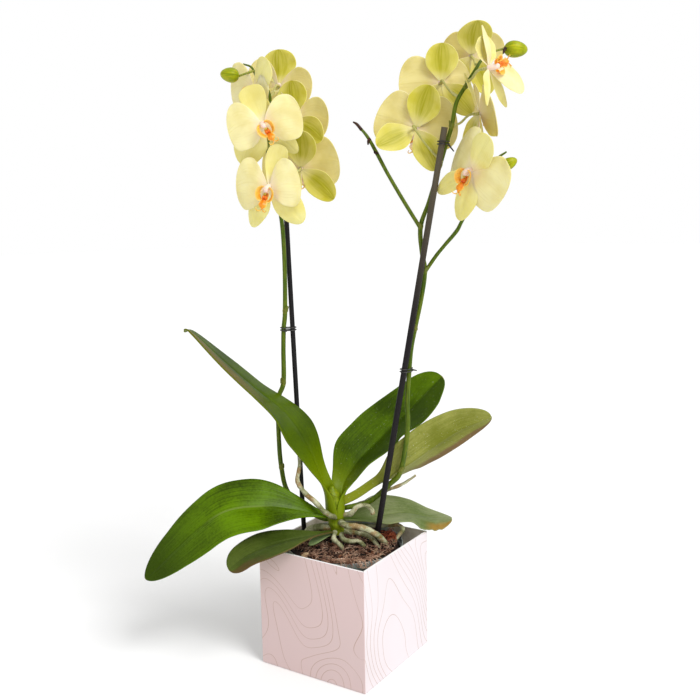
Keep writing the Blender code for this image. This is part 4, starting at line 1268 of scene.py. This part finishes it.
class ORCHID_OT_leaves(bpy.types.Operator):
    """Add the seven leaves"""
    bl_idname = "orchid.leaves"
    bl_label = "Leaves"

    def execute(self, context):
        plant = context.scene.orchid_plant
        dark, light = plant.leaf_dark, plant.leaf_light
        yellow = tone(116, 134, 14)
        tops = {
            "leaf_upper_left": leaf_finish(
                "Leaf_upper_left", tone(52, 70, 4), tone(76, 97, 5), base=yellow,
                band=(tone(100, 84, 22), 0.66, 0.84, 0.35, 0.6), rim=tone(96, 110, 14)),
            "leaf_lower_left": leaf_finish(
                "Leaf_lower_left", dark, light, rib=(tone(128, 150, 70), 0.2, 0.5), fade=(0.4, 0.8, 0.85),
                gloss=0.28),
            "leaf_small_left": leaf_finish(
                "Leaf_small_left", tone(54, 68, 20), tone(84, 98, 42), rim=tone(104, 76, 54),
                band=(tone(92, 72, 44), 0.78, 0.96, 0.45, 0.8), gloss=0.42),
            "leaf_upper_right": leaf_finish(
                "Leaf_upper_right", tone(46, 64, 4), tone(86, 114, 8), base=yellow, dim=(0.52, 0.44, 0.75),
                specks=0.4),
            "leaf_right": leaf_finish(
                "Leaf_right", tone(60, 80, 10), tone(92, 112, 20), base=yellow, rim=tone(150, 150, 90),
                specks=0.4),
            "leaf_lower_right": leaf_finish(
                "Leaf_lower_right", tone(88, 104, 52), tone(138, 146, 102), base=tone(84, 108, 24),
                band=(tone(150, 112, 42), 0.36, 0.2, 0.58, 0.7), gloss=0.45),
            "leaf_scale": leaf_finish("Leaf_scale", tone(96, 120, 70), tone(140, 156, 106), gloss=0.45),
        }
        backs = {
            "leaf_right": leaf_finish(
                "Leaf_right_under", tone(108, 114, 36), tone(150, 152, 78), base=tone(128, 138, 24),
                band=(tone(110, 74, 56), 0.86, 0.98, 0.25, 0.45), gloss=0.5, specks=0.8),
            "leaf_upper_left": leaf_finish(
                "Leaf_upper_left_under", tone(84, 98, 20), tone(110, 124, 34), base=yellow),
            "leaf_upper_right": leaf_finish(
                "Leaf_upper_right_under", tone(84, 98, 26), tone(110, 124, 44), base=yellow),
        }
        under = leaf_finish("Leaf_under", tone(92, 104, 36), tone(124, 132, 64), gloss=0.5)
        for number, (name, leaf) in enumerate(LEAVES.items()):
            small = name == "leaf_scale"
            sheet = flat_sheet(name.capitalize(), 8 if small else 20, 16 if small else 56)
            laid(sheet, leaf_rule(leaf, number))
            dressed(sheet, tops[name], backs.get(name, under))
            thickened(sheet, LEAF_THICKNESS)
            settle(sheet, "leaf_green", name)
        return {"FINISHED"}


class ORCHID_OT_roots(bpy.types.Operator):
    """Add the thick roots"""
    bl_idname = "orchid.roots"
    bl_label = "Roots"

    def execute(self, context):
        skin = root_finish()
        for name, root in ROOTS.items():
            thick = root["radius"]
            tip = 0.6 if name.endswith("aerial") else 0.9
            radii = [thick * 0.94, thick * 0.92, thick * tip * 0.9]
            made = tube(name.capitalize(), root["route"], radii, 10 * len(root["route"]), sides=16)
            for vertex in made.data.vertices:
                vertex.co += vertex.normal * lumps(vertex.co, ROOT_LUMPS)
            dressed(made, skin)
            settle(made, "root_silver", name)
        return {"FINISHED"}


# ------------------------------------------------------------------ stakes, spikes and clips
class ORCHID_OT_stakes(bpy.types.Operator):
    """Add the two stakes"""
    bl_idname = "orchid.stakes"
    bl_label = "Stakes"

    def execute(self, context):
        finishes = {
            "stake_left": stake_finish("Stake_black", tone(14, 12, 14), tone(24, 22, 24), 700.0, (0.2, 0.5)),
            "stake_right": stake_finish(
                "Stake_brown", tone(22, 15, 20), tone(92, 84, 68), 900.0, (0.36, 0.56)),
        }
        for name, stake in STAKES.items():
            top = at(stake["top"])
            foot = at(stake["foot"])
            buried = foot + (foot - top).normalized() * STAKE_DEPTH * MM
            run = top - buried
            radius = stake["radius"] * MM
            clear_selection()
            bpy.ops.mesh.primitive_cylinder_add(
                vertices=36, radius=radius, depth=run.length, location=(top + buried) / 2,
                rotation=run.to_track_quat("Z", "Y").to_euler())
            rod = named(name.capitalize())
            edit(rod, "FACE", lambda face: abs(face.normal.z) < 0.5 and face.index % 2 == 0)
            bpy.ops.mesh.inset(thickness=radius * 0.03, depth=-radius * 0.05, use_individual=True)
            edit(rod, "FACE", lambda face: face.normal.z > 0.9)
            bpy.ops.mesh.inset(thickness=radius * 0.06)
            bpy.ops.transform.translate(value=run.normalized() * radius * 0.05)
            clear_selection()
            placed_in_mesh(rod)
            rounded(rod, 30)
            dressed(rod, finishes[name])
            settle(rod, "stake_plastic", name)
        return {"FINISHED"}


def bract(name, foot, up, out, radius, length):
    """A pointed scale that wraps the stem at a node."""
    sheet = flat_sheet(name, 8, 8)
    up = up.normalized()
    out = (out - up * out.dot(up)).normalized()
    sideways = up.cross(out)

    def rule(side, share):
        wrap = math.radians(95) * side * (1 - share) ** 0.7
        gap = radius * 1.12 + 0.25 + 1.6 * share ** 2
        spot = foot + up * (length * share - 1.0)
        return at(spot + gap * (out * math.cos(wrap) + sideways * math.sin(wrap)))

    laid(sheet, rule)
    return sheet


class ORCHID_OT_spikes(bpy.types.Operator):
    """Add the flower spikes with their nodes and bracts"""
    bl_idname = "orchid.spikes"
    bl_label = "Flower spikes"

    def execute(self, context):
        plant = context.scene.orchid_plant
        skin = stem_finish("Stem_skin", tone(62, 86, 10), plant.stem, tone(120, 104, 60))
        dry = stem_finish("Bract_skin", tone(84, 98, 28), tone(118, 122, 50), tone(96, 70, 44))
        sides = dict(left=LEFT_SPIKE, right=RIGHT_SPIKE)
        built = dict(left=[], right=[])
        for side, spike in sides.items():
            built[side].append(tube(f"Stem_{side}", spike["route"], spike["radii"], 150, sides=16))
        for number, branch in enumerate((LEFT_BRANCH, RIGHT_BRANCH)):
            built["right"].append(tube(f"Branch_{number}", branch["route"], branch["radii"], 60, sides=16))
        for pieces in built.values():
            for piece in pieces:
                dressed(piece, skin)
        withered = stem_finish("Withered_skin", tone(40, 26, 20), tone(70, 46, 34), tone(150, 96, 74))
        for number, route in enumerate(WITHERED):
            tip = tube(f"Withered_{number}", route, [1.7, 1.5, 0.7], 14, sides=12)
            dressed(tip, withered)
            built["right"].append(tip)
        node_skin = stem_finish("Node_skin", tone(96, 112, 24), tone(132, 134, 50))
        swells = (0.95, 1.04, 1.14, 1.04, 0.95)
        for number, node in enumerate(NODES):
            spike = sides[node["spike"]]
            points = [Vector(point) for point in spike["route"]]
            step = node["step"]
            rise = points[step + 1] - points[step - 1]
            radius = spike["radii"][step]
            collar = [points[step] + rise.normalized() * along for along in (-3.5, -1.5, 0, 1.5, 3.5)]
            ring = tube(f"Collar_{number}", collar, [radius * swell for swell in swells], 20, sides=16)
            dressed(ring, node_skin)
            scale = bract(f"Bract_{number}", points[step], rise, Vector(node["out"]), radius, node["length"])
            dressed(scale, dry, dry)
            thickened(scale, 0.5)
            built[node["spike"]] += [ring, scale]
        for side, pieces in built.items():
            spike = one_piece(pieces, f"Spike_{side}")
            settle(spike, "stem_green", f"spike_{side}")
        return {"FINISHED"}


def crossing(points, height):
    """The point at which a rising route reaches a height."""
    for low, high in zip(points, points[1:]):
        if low.z <= height < high.z:
            return low.lerp(high, (height - low.z) / (high.z - low.z))
    raise ValueError("the route doesn't reach this height")


class ORCHID_OT_clips(bpy.types.Operator):
    """Add the clips that hold the spikes to the stakes"""
    bl_idname = "orchid.clips"
    bl_label = "Clips"

    def execute(self, context):
        plastic = clip_finish()
        for name, clip in CLIPS.items():
            stake = STAKES[clip["stake"]]
            ends = [Vector(stake["foot"]), Vector(stake["top"])]
            rod = crossing(ends, clip["height"])
            stem = crossing(smooth(clip["spike"]["route"], 60), clip["height"])
            turn = math.atan2(stem.y - rod.y, stem.x - rod.x)
            loop = []
            for middle, radius, start in ((stem, 2.3, -90), (rod, stake["radius"], 90)):
                for step in range(13):
                    angle = turn + math.radians(start + 15 * step)
                    reach = radius + 1.1
                    slope = 0.35 * math.sin(math.radians(15 * step))
                    loop.append(middle + Vector((reach * math.cos(angle), reach * math.sin(angle), slope)))
            pieces = []
            for part, lift, thick in ((name.capitalize(), 0, 0.62), ("Second_turn", 2.6, 0.55)):
                turned = [point + Vector((0, 0, lift)) for point in loop]
                pieces.append(tube(part, turned, [thick, thick], len(loop), sides=10, closed=True,
                                   even=True))
            start = stem + Vector((2.5 * math.cos(turn), 2.5 * math.sin(turn), 1.0))
            tail = Vector(clip["tail"])
            route = [start, start + tail * 0.5, start + tail]
            pieces.append(tube("Tail", route, [0.9, 0.8, 0.6], 12, sides=10))
            made = one_piece(pieces, name.capitalize())
            dressed(made, plastic)
            settle(made, "clip_plastic", name)
        return {"FINISHED"}


# ------------------------------------------------------------------ flowers and buds
def flower_frame(flower):
    """The flower's own frame in the world: x to its right, y to its back, z up, in mm."""
    turn = Matrix.Rotation(math.radians(flower["face"]), 4, "Z")
    tilt = Matrix.Rotation(-math.radians(flower["tilt"]), 4, "X")
    roll = Matrix.Rotation(math.radians(flower["roll"]), 4, "Y")
    return PLANT @ Matrix.Translation(flower["centre"]) @ turn @ tilt @ roll


def tepal_half_width(share, tepal):
    """Half-width along a tepal: a narrow claw, a round blade and a blunt tip."""
    belly = tepal["belly"]
    if share < belly:
        return tepal["half"] * (0.12 + 0.88 * math.sin(math.pi / 2 * share / belly) ** tepal["swell"])
    past = (share - belly) / (1 - belly)
    return tepal["half"] * math.sqrt(max(1 - past ** tepal["blunt"], 0.0))


def tepal_rule(tepal, frame_here, size, seed):
    """Lays a tepal out from the flower's middle, cupped, creased along its spine and a little wavy."""
    spread = math.radians(tepal["spread"])
    lean = math.radians(tepal["lean"])
    out = Vector((math.cos(spread) * math.cos(lean), math.sin(lean), math.sin(spread) * math.cos(lean)))
    across = Vector((-math.sin(spread), 0.0, math.cos(spread)))
    across.rotate(Matrix.Rotation(math.radians(tepal.get("twist", 0)), 3, out))
    rear = across.cross(out)

    def rule(side, share):
        half = tepal_half_width(share, tepal)
        arch = math.sin(math.pi * min(share, 1.0))
        cup = tepal["cup"] * (side ** 2 - 1) * arch + tepal["rear"] * eased(share, 0.0, 0.3)
        crease = (0.9 if tepal["cup"] > 0 else 0.2) * math.exp(-(side / 0.13) ** 2) * arch
        ripple = 0.07 * half * side ** 2 * math.sin(6.5 * share + seed + 1.7 * side)
        ruffle = 0.02 * half * abs(side) ** 3 * math.sin(17 * share + 2.3 * seed + 3 * side)
        ruffle *= tepal.get("ruffle", 1)
        length = 1.5 + (tepal["length"] - 1.5) * share
        edge = 1 + 0.03 * math.sin(5 * share + seed * 1.3 + 2 * side)
        return frame_here @ (size * (out * length + across * (half * edge * side + tepal["arch"] * arch)
                                     + rear * (cup + crease + ripple + ruffle)))

    return rule


def lip_lobes(name, design, finishes):
    """The column, and the lip round it: two side lobes, a pointed middle lobe and its tendrils."""
    turn = Matrix.Rotation(math.radians(design.get("lip_roll", 0)), 4, "Y")
    frame_here = flower_frame(design) @ turn
    size = design["size"] * LIP_SIZE

    def put(point):
        return frame_here @ (size * Vector(point))

    pieces = []
    for hand in (-1, 1):
        route = [(hand * 0.8, -7.0, -13.5), (hand * 4.6, -9.0, -13.5), (hand * 7.8, -10.5, -9.5),
                 (hand * 8.2, -10.5, -4.0), (hand * 6.0, -10.0, 0.0), (hand * 3.4, -10.5, 1.8)]
        lobe = flat_sheet(f"{name}_side_lobe", 8, 18)

        def across(ahead, share, hand=hand):
            flare = Vector((hand * 0.55, -0.8, 0.0)) * hand
            return (flare - ahead * flare.dot(ahead)).normalized()

        laid(lobe, ribbon_rule(
            route, lambda side, share: 1.6 + 2.3 * math.sin(math.pi * (0.1 + 0.85 * share)) ** 0.8, across,
            lambda side, share, hand=hand: 0.8 * (side * side - 0.4), put))
        dressed(lobe, finishes["lobe"], finishes["lobe_back"])
        thickened(lobe, 0.7)
        pieces.append(lobe)

    middle = flat_sheet(f"{name}_middle_lobe", 10, 20)
    route = [(0, -3.5, -6.0), (0, -7.0, -11.0), (0, -10.5, -14.5), (0, -14.0, -17.5), (0, -15.0, -21.5),
             (0, -13.0, -24.0)]

    def half(side, share):
        body = 2.4 + 1.6 * math.sin(math.pi * share)
        return body + 1.4 * eased(share, 0.5, 0.7) - 4.4 * eased(share, 0.7, 1.0)

    laid(middle, ribbon_rule(
        route, half, lambda ahead, share: Vector((1, 0, 0)),
        lambda side, share: 1.5 * side * side * (1 - 2 * eased(share, 0.3, 0.7))
        + 0.8 * math.exp(-(side / 0.25) ** 2), put))
    dressed(middle, finishes["middle"], finishes["column"])
    thickened(middle, 1.0)
    pieces.append(middle)

    for hand in (-1, 1):
        route = [(hand * 0.5, -13.2, -23.4), (hand * 2.2, -13.4, -25.2), (hand * 4.6, -15.0, -25.4),
                 (hand * 6.0, -17.0, -23.6), (hand * 5.4, -18.2, -21.4)]
        tendril = tube(f"{name}_tendril", route, [0.8, 0.6, 0.5, 0.4, 0.25], 16, sides=8, place=put)
        dressed(tendril, finishes["lobe_back"])
        pieces.append(tendril)

    def bead(part, middle, radii, finish):
        clear_selection()
        bpy.ops.mesh.primitive_uv_sphere_add(segments=12, ring_count=8, radius=1)
        ball = named(f"{name}_{part}")
        seat = frame_here @ Matrix.Scale(size, 4) @ Matrix.Translation(middle)
        ball.matrix_world = seat @ Matrix.Diagonal((*radii, 1))
        placed_in_mesh(ball)
        rounded(ball, 80)
        dressed(ball, finish)
        pieces.append(ball)

    for hand in (-1, 1):
        bead("callus", (hand * 1.3, -9.5, -10.5), (1.7, 1.7, 2.2), finishes["heart"])

    route = [(0, 0.5, 1.5), (0, -3, 1.0), (0, -6.5, -0.4), (0, -9.0, -2.6), (0, -10.2, -5.0)]
    column = tube(f"{name}_column", route, [2.6, 2.6, 2.9, 3.4, 2.8, 1.2], 24, sides=20, place=put)
    dressed(column, finishes["column"])
    pieces.append(column)
    bead("cavity", (0, -9.6, -6.2), (1.5, 1.2, 1.9), finishes["cavity"])
    return pieces


class ORCHID_OT_flowers(bpy.types.Operator):
    """Add the twelve flowers with their stalks and lips"""
    bl_idname = "orchid.flowers"
    bl_label = "Flowers"

    def execute(self, context):
        settings = context.scene.orchid_flower
        cream, shade = settings.cream, settings.shade
        throat = tone(244, 226, 196)
        petal = [
            tepal_finish("Petal_front", cream, shade, heart=throat),
            tepal_finish("Petal_back", tone(220, 206, 142), tone(203, 188, 116), heart=tone(226, 206, 168)),
        ]
        sepal = [
            tepal_finish("Sepal_front", tone(238, 228, 152), tone(222, 209, 122), heart=throat),
            tepal_finish("Sepal_back", tone(213, 203, 108), tone(195, 186, 56), heart=tone(222, 210, 150),
                         streaks=settings.green),
        ]
        stalk_skin = stem_finish("Flower_stalk", tone(160, 160, 80), tone(196, 190, 128))
        lip_skins = dict(
            lobe=lip_finish("Lip_lobe", tone(232, 136, 20), settings.orange, tone(250, 200, 70)),
            lobe_back=lip_finish("Lip_back", tone(240, 168, 50), tone(248, 196, 84), tone(252, 214, 120)),
            middle=lip_finish("Lip_middle", tone(230, 120, 14), tone(246, 164, 34), tone(250, 206, 96)),
            heart=lip_finish("Lip_heart", tone(218, 84, 8), tone(236, 124, 14), tone(214, 92, 8)),
            column=tepal_finish("Column", tone(244, 222, 206), tone(236, 204, 186)),
            cavity=tepal_finish("Column_cavity", tone(206, 186, 84), tone(176, 150, 50)),
        )
        blank = flat_sheet("Tepal_blank", 14, 18)
        for number, (name, design) in enumerate(FLOWERS.items()):
            frame_here = flower_frame(design)
            pieces = []
            for index, (part, usual) in enumerate(TEPALS.items()):
                tepal = dict(usual)
                if part in design["own"]:
                    tepal["spread"], tepal["lean"] = design["own"][part]
                tepal.update(design.get("shape", {}).get(part, {}))
                sheet = copy_of(blank, f"{name}_{part}")
                laid(sheet, tepal_rule(tepal, frame_here, design["size"], number * 1.9 + index * 2.3))
                dressed(sheet, *(petal if part.startswith("petal") else sepal))
                thickened(sheet, TEPAL_THICKNESS)
                pieces.append(sheet)
            to_plant = PLANT.inverted() @ frame_here
            back = to_plant @ Vector((0, 0.5, 0))
            behind = to_plant @ Vector((0, 11, -1))
            end = Vector(design["stalk"])
            route = [back, behind, (behind + end) / 2 - Vector((0, 0, 2)), end]
            stalk = tube(f"{name}_stalk", route, [2.0, 1.3, 1.2, 1.25, 1.5], 26, sides=10)
            dressed(stalk, stalk_skin)
            pieces.append(stalk)
            flower = one_piece(pieces, f"Flower_{name}")
            settle(flower, "petal_cream", f"flower_{name}")
            lip = one_piece(lip_lobes(name, design, lip_skins), f"Lip_{name}")
            settle(lip, "lip_orange", f"lip_{name}")
        bpy.data.objects.remove(blank)
        return {"FINISHED"}


class ORCHID_OT_buds(bpy.types.Operator):
    """Add the three buds"""
    bl_idname = "orchid.buds"
    bl_label = "Buds"

    def execute(self, context):
        skin = bud_finish()
        stalk_skin = stem_finish("Bud_stalk", tone(110, 120, 34), tone(150, 152, 66))
        for name, bud in BUDS.items():
            foot, tip = Vector(bud["foot"]), Vector(bud["tip"])
            run = tip - foot
            clear_selection()
            bpy.ops.mesh.primitive_uv_sphere_add(segments=36, ring_count=20, radius=1)
            body = named(name.capitalize())
            for vertex in body.data.vertices:
                turn = math.atan2(vertex.co.y, vertex.co.x)
                lobes = 1 + 0.05 * math.cos(3 * turn)
                narrow = 1 - 0.16 * (1 + vertex.co.z) + 0.1
                vertex.co.x *= lobes * narrow
                vertex.co.y *= lobes * narrow
            swell = Matrix.Diagonal((bud["radius"], bud["radius"] * 0.9, run.length / 2, 1))
            turned = run.to_track_quat("Z", "Y").to_matrix().to_4x4()
            body.matrix_world = PLANT @ Matrix.Translation((foot + tip) / 2) @ turned @ swell
            placed_in_mesh(body)
            rounded(body, 80)
            dressed(body, skin)
            start = Vector(bud["stalk"])
            route = [start, (start + foot) / 2, foot, foot + run * 0.15]
            stalk = tube("Stalk", route, [1.3, 1.1, 1.2, 2.2], 20, sides=12)
            dressed(stalk, stalk_skin)
            made = one_piece([body, stalk], name.capitalize())
            settle(made, "bud_green", name)
        return {"FINISHED"}


# ------------------------------------------------------------------ stage
class ORCHID_OT_stage(bpy.types.Operator):
    """Add the floor, the light and the camera"""
    bl_idname = "orchid.stage"
    bl_label = "Stage"

    def execute(self, context):
        settings = context.scene.orchid_stage
        clear_selection()
        bpy.ops.mesh.primitive_circle_add(vertices=96, radius=FLOOR_RADIUS, fill_type="NGON",
                                          location=(0, 0, -FLOOR_DROP))
        floor = named("Floor")
        placed_in_mesh(floor)
        paint = Finish("Floor_paint", Roughness=0.8, Specular_IOR_Level=0.1)
        shade = tuple(part * 0.985 for part in settings.floor)
        dressed(floor, paint.finish(paint.blend(settings.floor, shade, paint.noise(3.0, 2.0))))

        aim = Vector(SUNWARD).to_track_quat("Z", "Y").to_euler()
        bpy.ops.object.light_add(type="SUN", rotation=aim)
        sun = bpy.context.object
        sun.name = "Key_light"
        sun.data.energy = settings.key
        sun.data.angle = math.radians(28)

        world = bpy.data.worlds.new("Studio")
        context.scene.world = world
        world.use_nodes = True
        nodes = world.node_tree.nodes
        # Soft light falls from all round, but the camera sees plain white there.
        light = nodes["Background"]
        light.inputs["Color"].default_value = (1, 1, 1, 1)
        light.inputs["Strength"].default_value = settings.sky
        seen = nodes.new("ShaderNodeBackground")
        seen.inputs["Color"].default_value = (1, 1, 1, 1)
        path = nodes.new("ShaderNodeLightPath")
        either = nodes.new("ShaderNodeMixShader")
        link = world.node_tree.links.new
        link(path.outputs["Is Camera Ray"], either.inputs[0])
        link(light.outputs[0], either.inputs[1])
        link(seen.outputs[0], either.inputs[2])
        link(either.outputs[0], nodes["World Output"].inputs["Surface"])

        bpy.ops.object.camera_add()
        camera = bpy.context.object
        camera.name = "Camera"
        camera.data.sensor_width = 36.0
        camera.data.lens = 50.25
        right, up = Vector(CAMERA_RIGHT), Vector(CAMERA_UP)
        back = right.cross(up)
        turn = Matrix((right, up, back)).transposed().to_4x4()
        camera.matrix_world = Matrix.Translation(CAMERA_PLACE) @ turn
        context.scene.camera = camera
        context.scene.view_settings.view_transform = "Standard"
        return {"FINISHED"}


# ------------------------------------------------------------------ panel and registration
class ORCHID_PT_panel(bpy.types.Panel):
    """Lists the pieces and their settings"""
    bl_idname = "ORCHID_PT_panel"
    bl_label = "Potted Orchid"
    bl_space_type = "VIEW_3D"
    bl_region_type = "UI"
    bl_category = "Orchid"

    def draw(self, context):
        for title, group, operators in SECTIONS:
            box = self.layout.box()
            box.label(text=title)
            settings = getattr(context.scene, group)
            for setting in settings.bl_rna.properties:
                if setting.identifier not in {"name", "rna_type"}:
                    box.prop(settings, setting.identifier)
            for operator in operators:
                box.operator(operator.bl_idname)


SECTIONS = [
    ("Planter", "orchid_planter", [ORCHID_OT_planter, ORCHID_OT_pot]),
    ("Potting mix", "orchid_potting", [ORCHID_OT_mix]),
    ("Plant", "orchid_plant", [
        ORCHID_OT_crown, ORCHID_OT_leaves, ORCHID_OT_roots, ORCHID_OT_stakes, ORCHID_OT_spikes,
        ORCHID_OT_clips]),
    ("Flowers", "orchid_flower", [ORCHID_OT_flowers, ORCHID_OT_buds]),
    ("Stage", "orchid_stage", [ORCHID_OT_stage]),
]
GROUPS = dict(orchid_planter=PlanterSettings, orchid_potting=PottingSettings, orchid_plant=PlantSettings,
              orchid_flower=FlowerSettings, orchid_stage=StageSettings)


def register():
    for name, group in GROUPS.items():
        bpy.utils.register_class(group)
        setattr(bpy.types.Scene, name, PointerProperty(type=group))
    for _, _, operators in SECTIONS:
        for operator in operators:
            bpy.utils.register_class(operator)
    bpy.utils.register_class(ORCHID_PT_panel)


def unregister():
    bpy.utils.unregister_class(ORCHID_PT_panel)
    for _, _, operators in SECTIONS:
        for operator in operators:
            bpy.utils.unregister_class(operator)
    for name, group in GROUPS.items():
        delattr(bpy.types.Scene, name)
        bpy.utils.unregister_class(group)


def main():
    register()
    bpy.ops.orchid.planter()
    bpy.ops.orchid.pot()
    bpy.ops.orchid.mix()
    bpy.ops.orchid.crown()
    bpy.ops.orchid.leaves()
    bpy.ops.orchid.roots()
    bpy.ops.orchid.stakes()
    bpy.ops.orchid.spikes()
    bpy.ops.orchid.clips()
    bpy.ops.orchid.flowers()
    bpy.ops.orchid.buds()
    bpy.ops.orchid.stage()


if __name__ == "__main__":
    main()
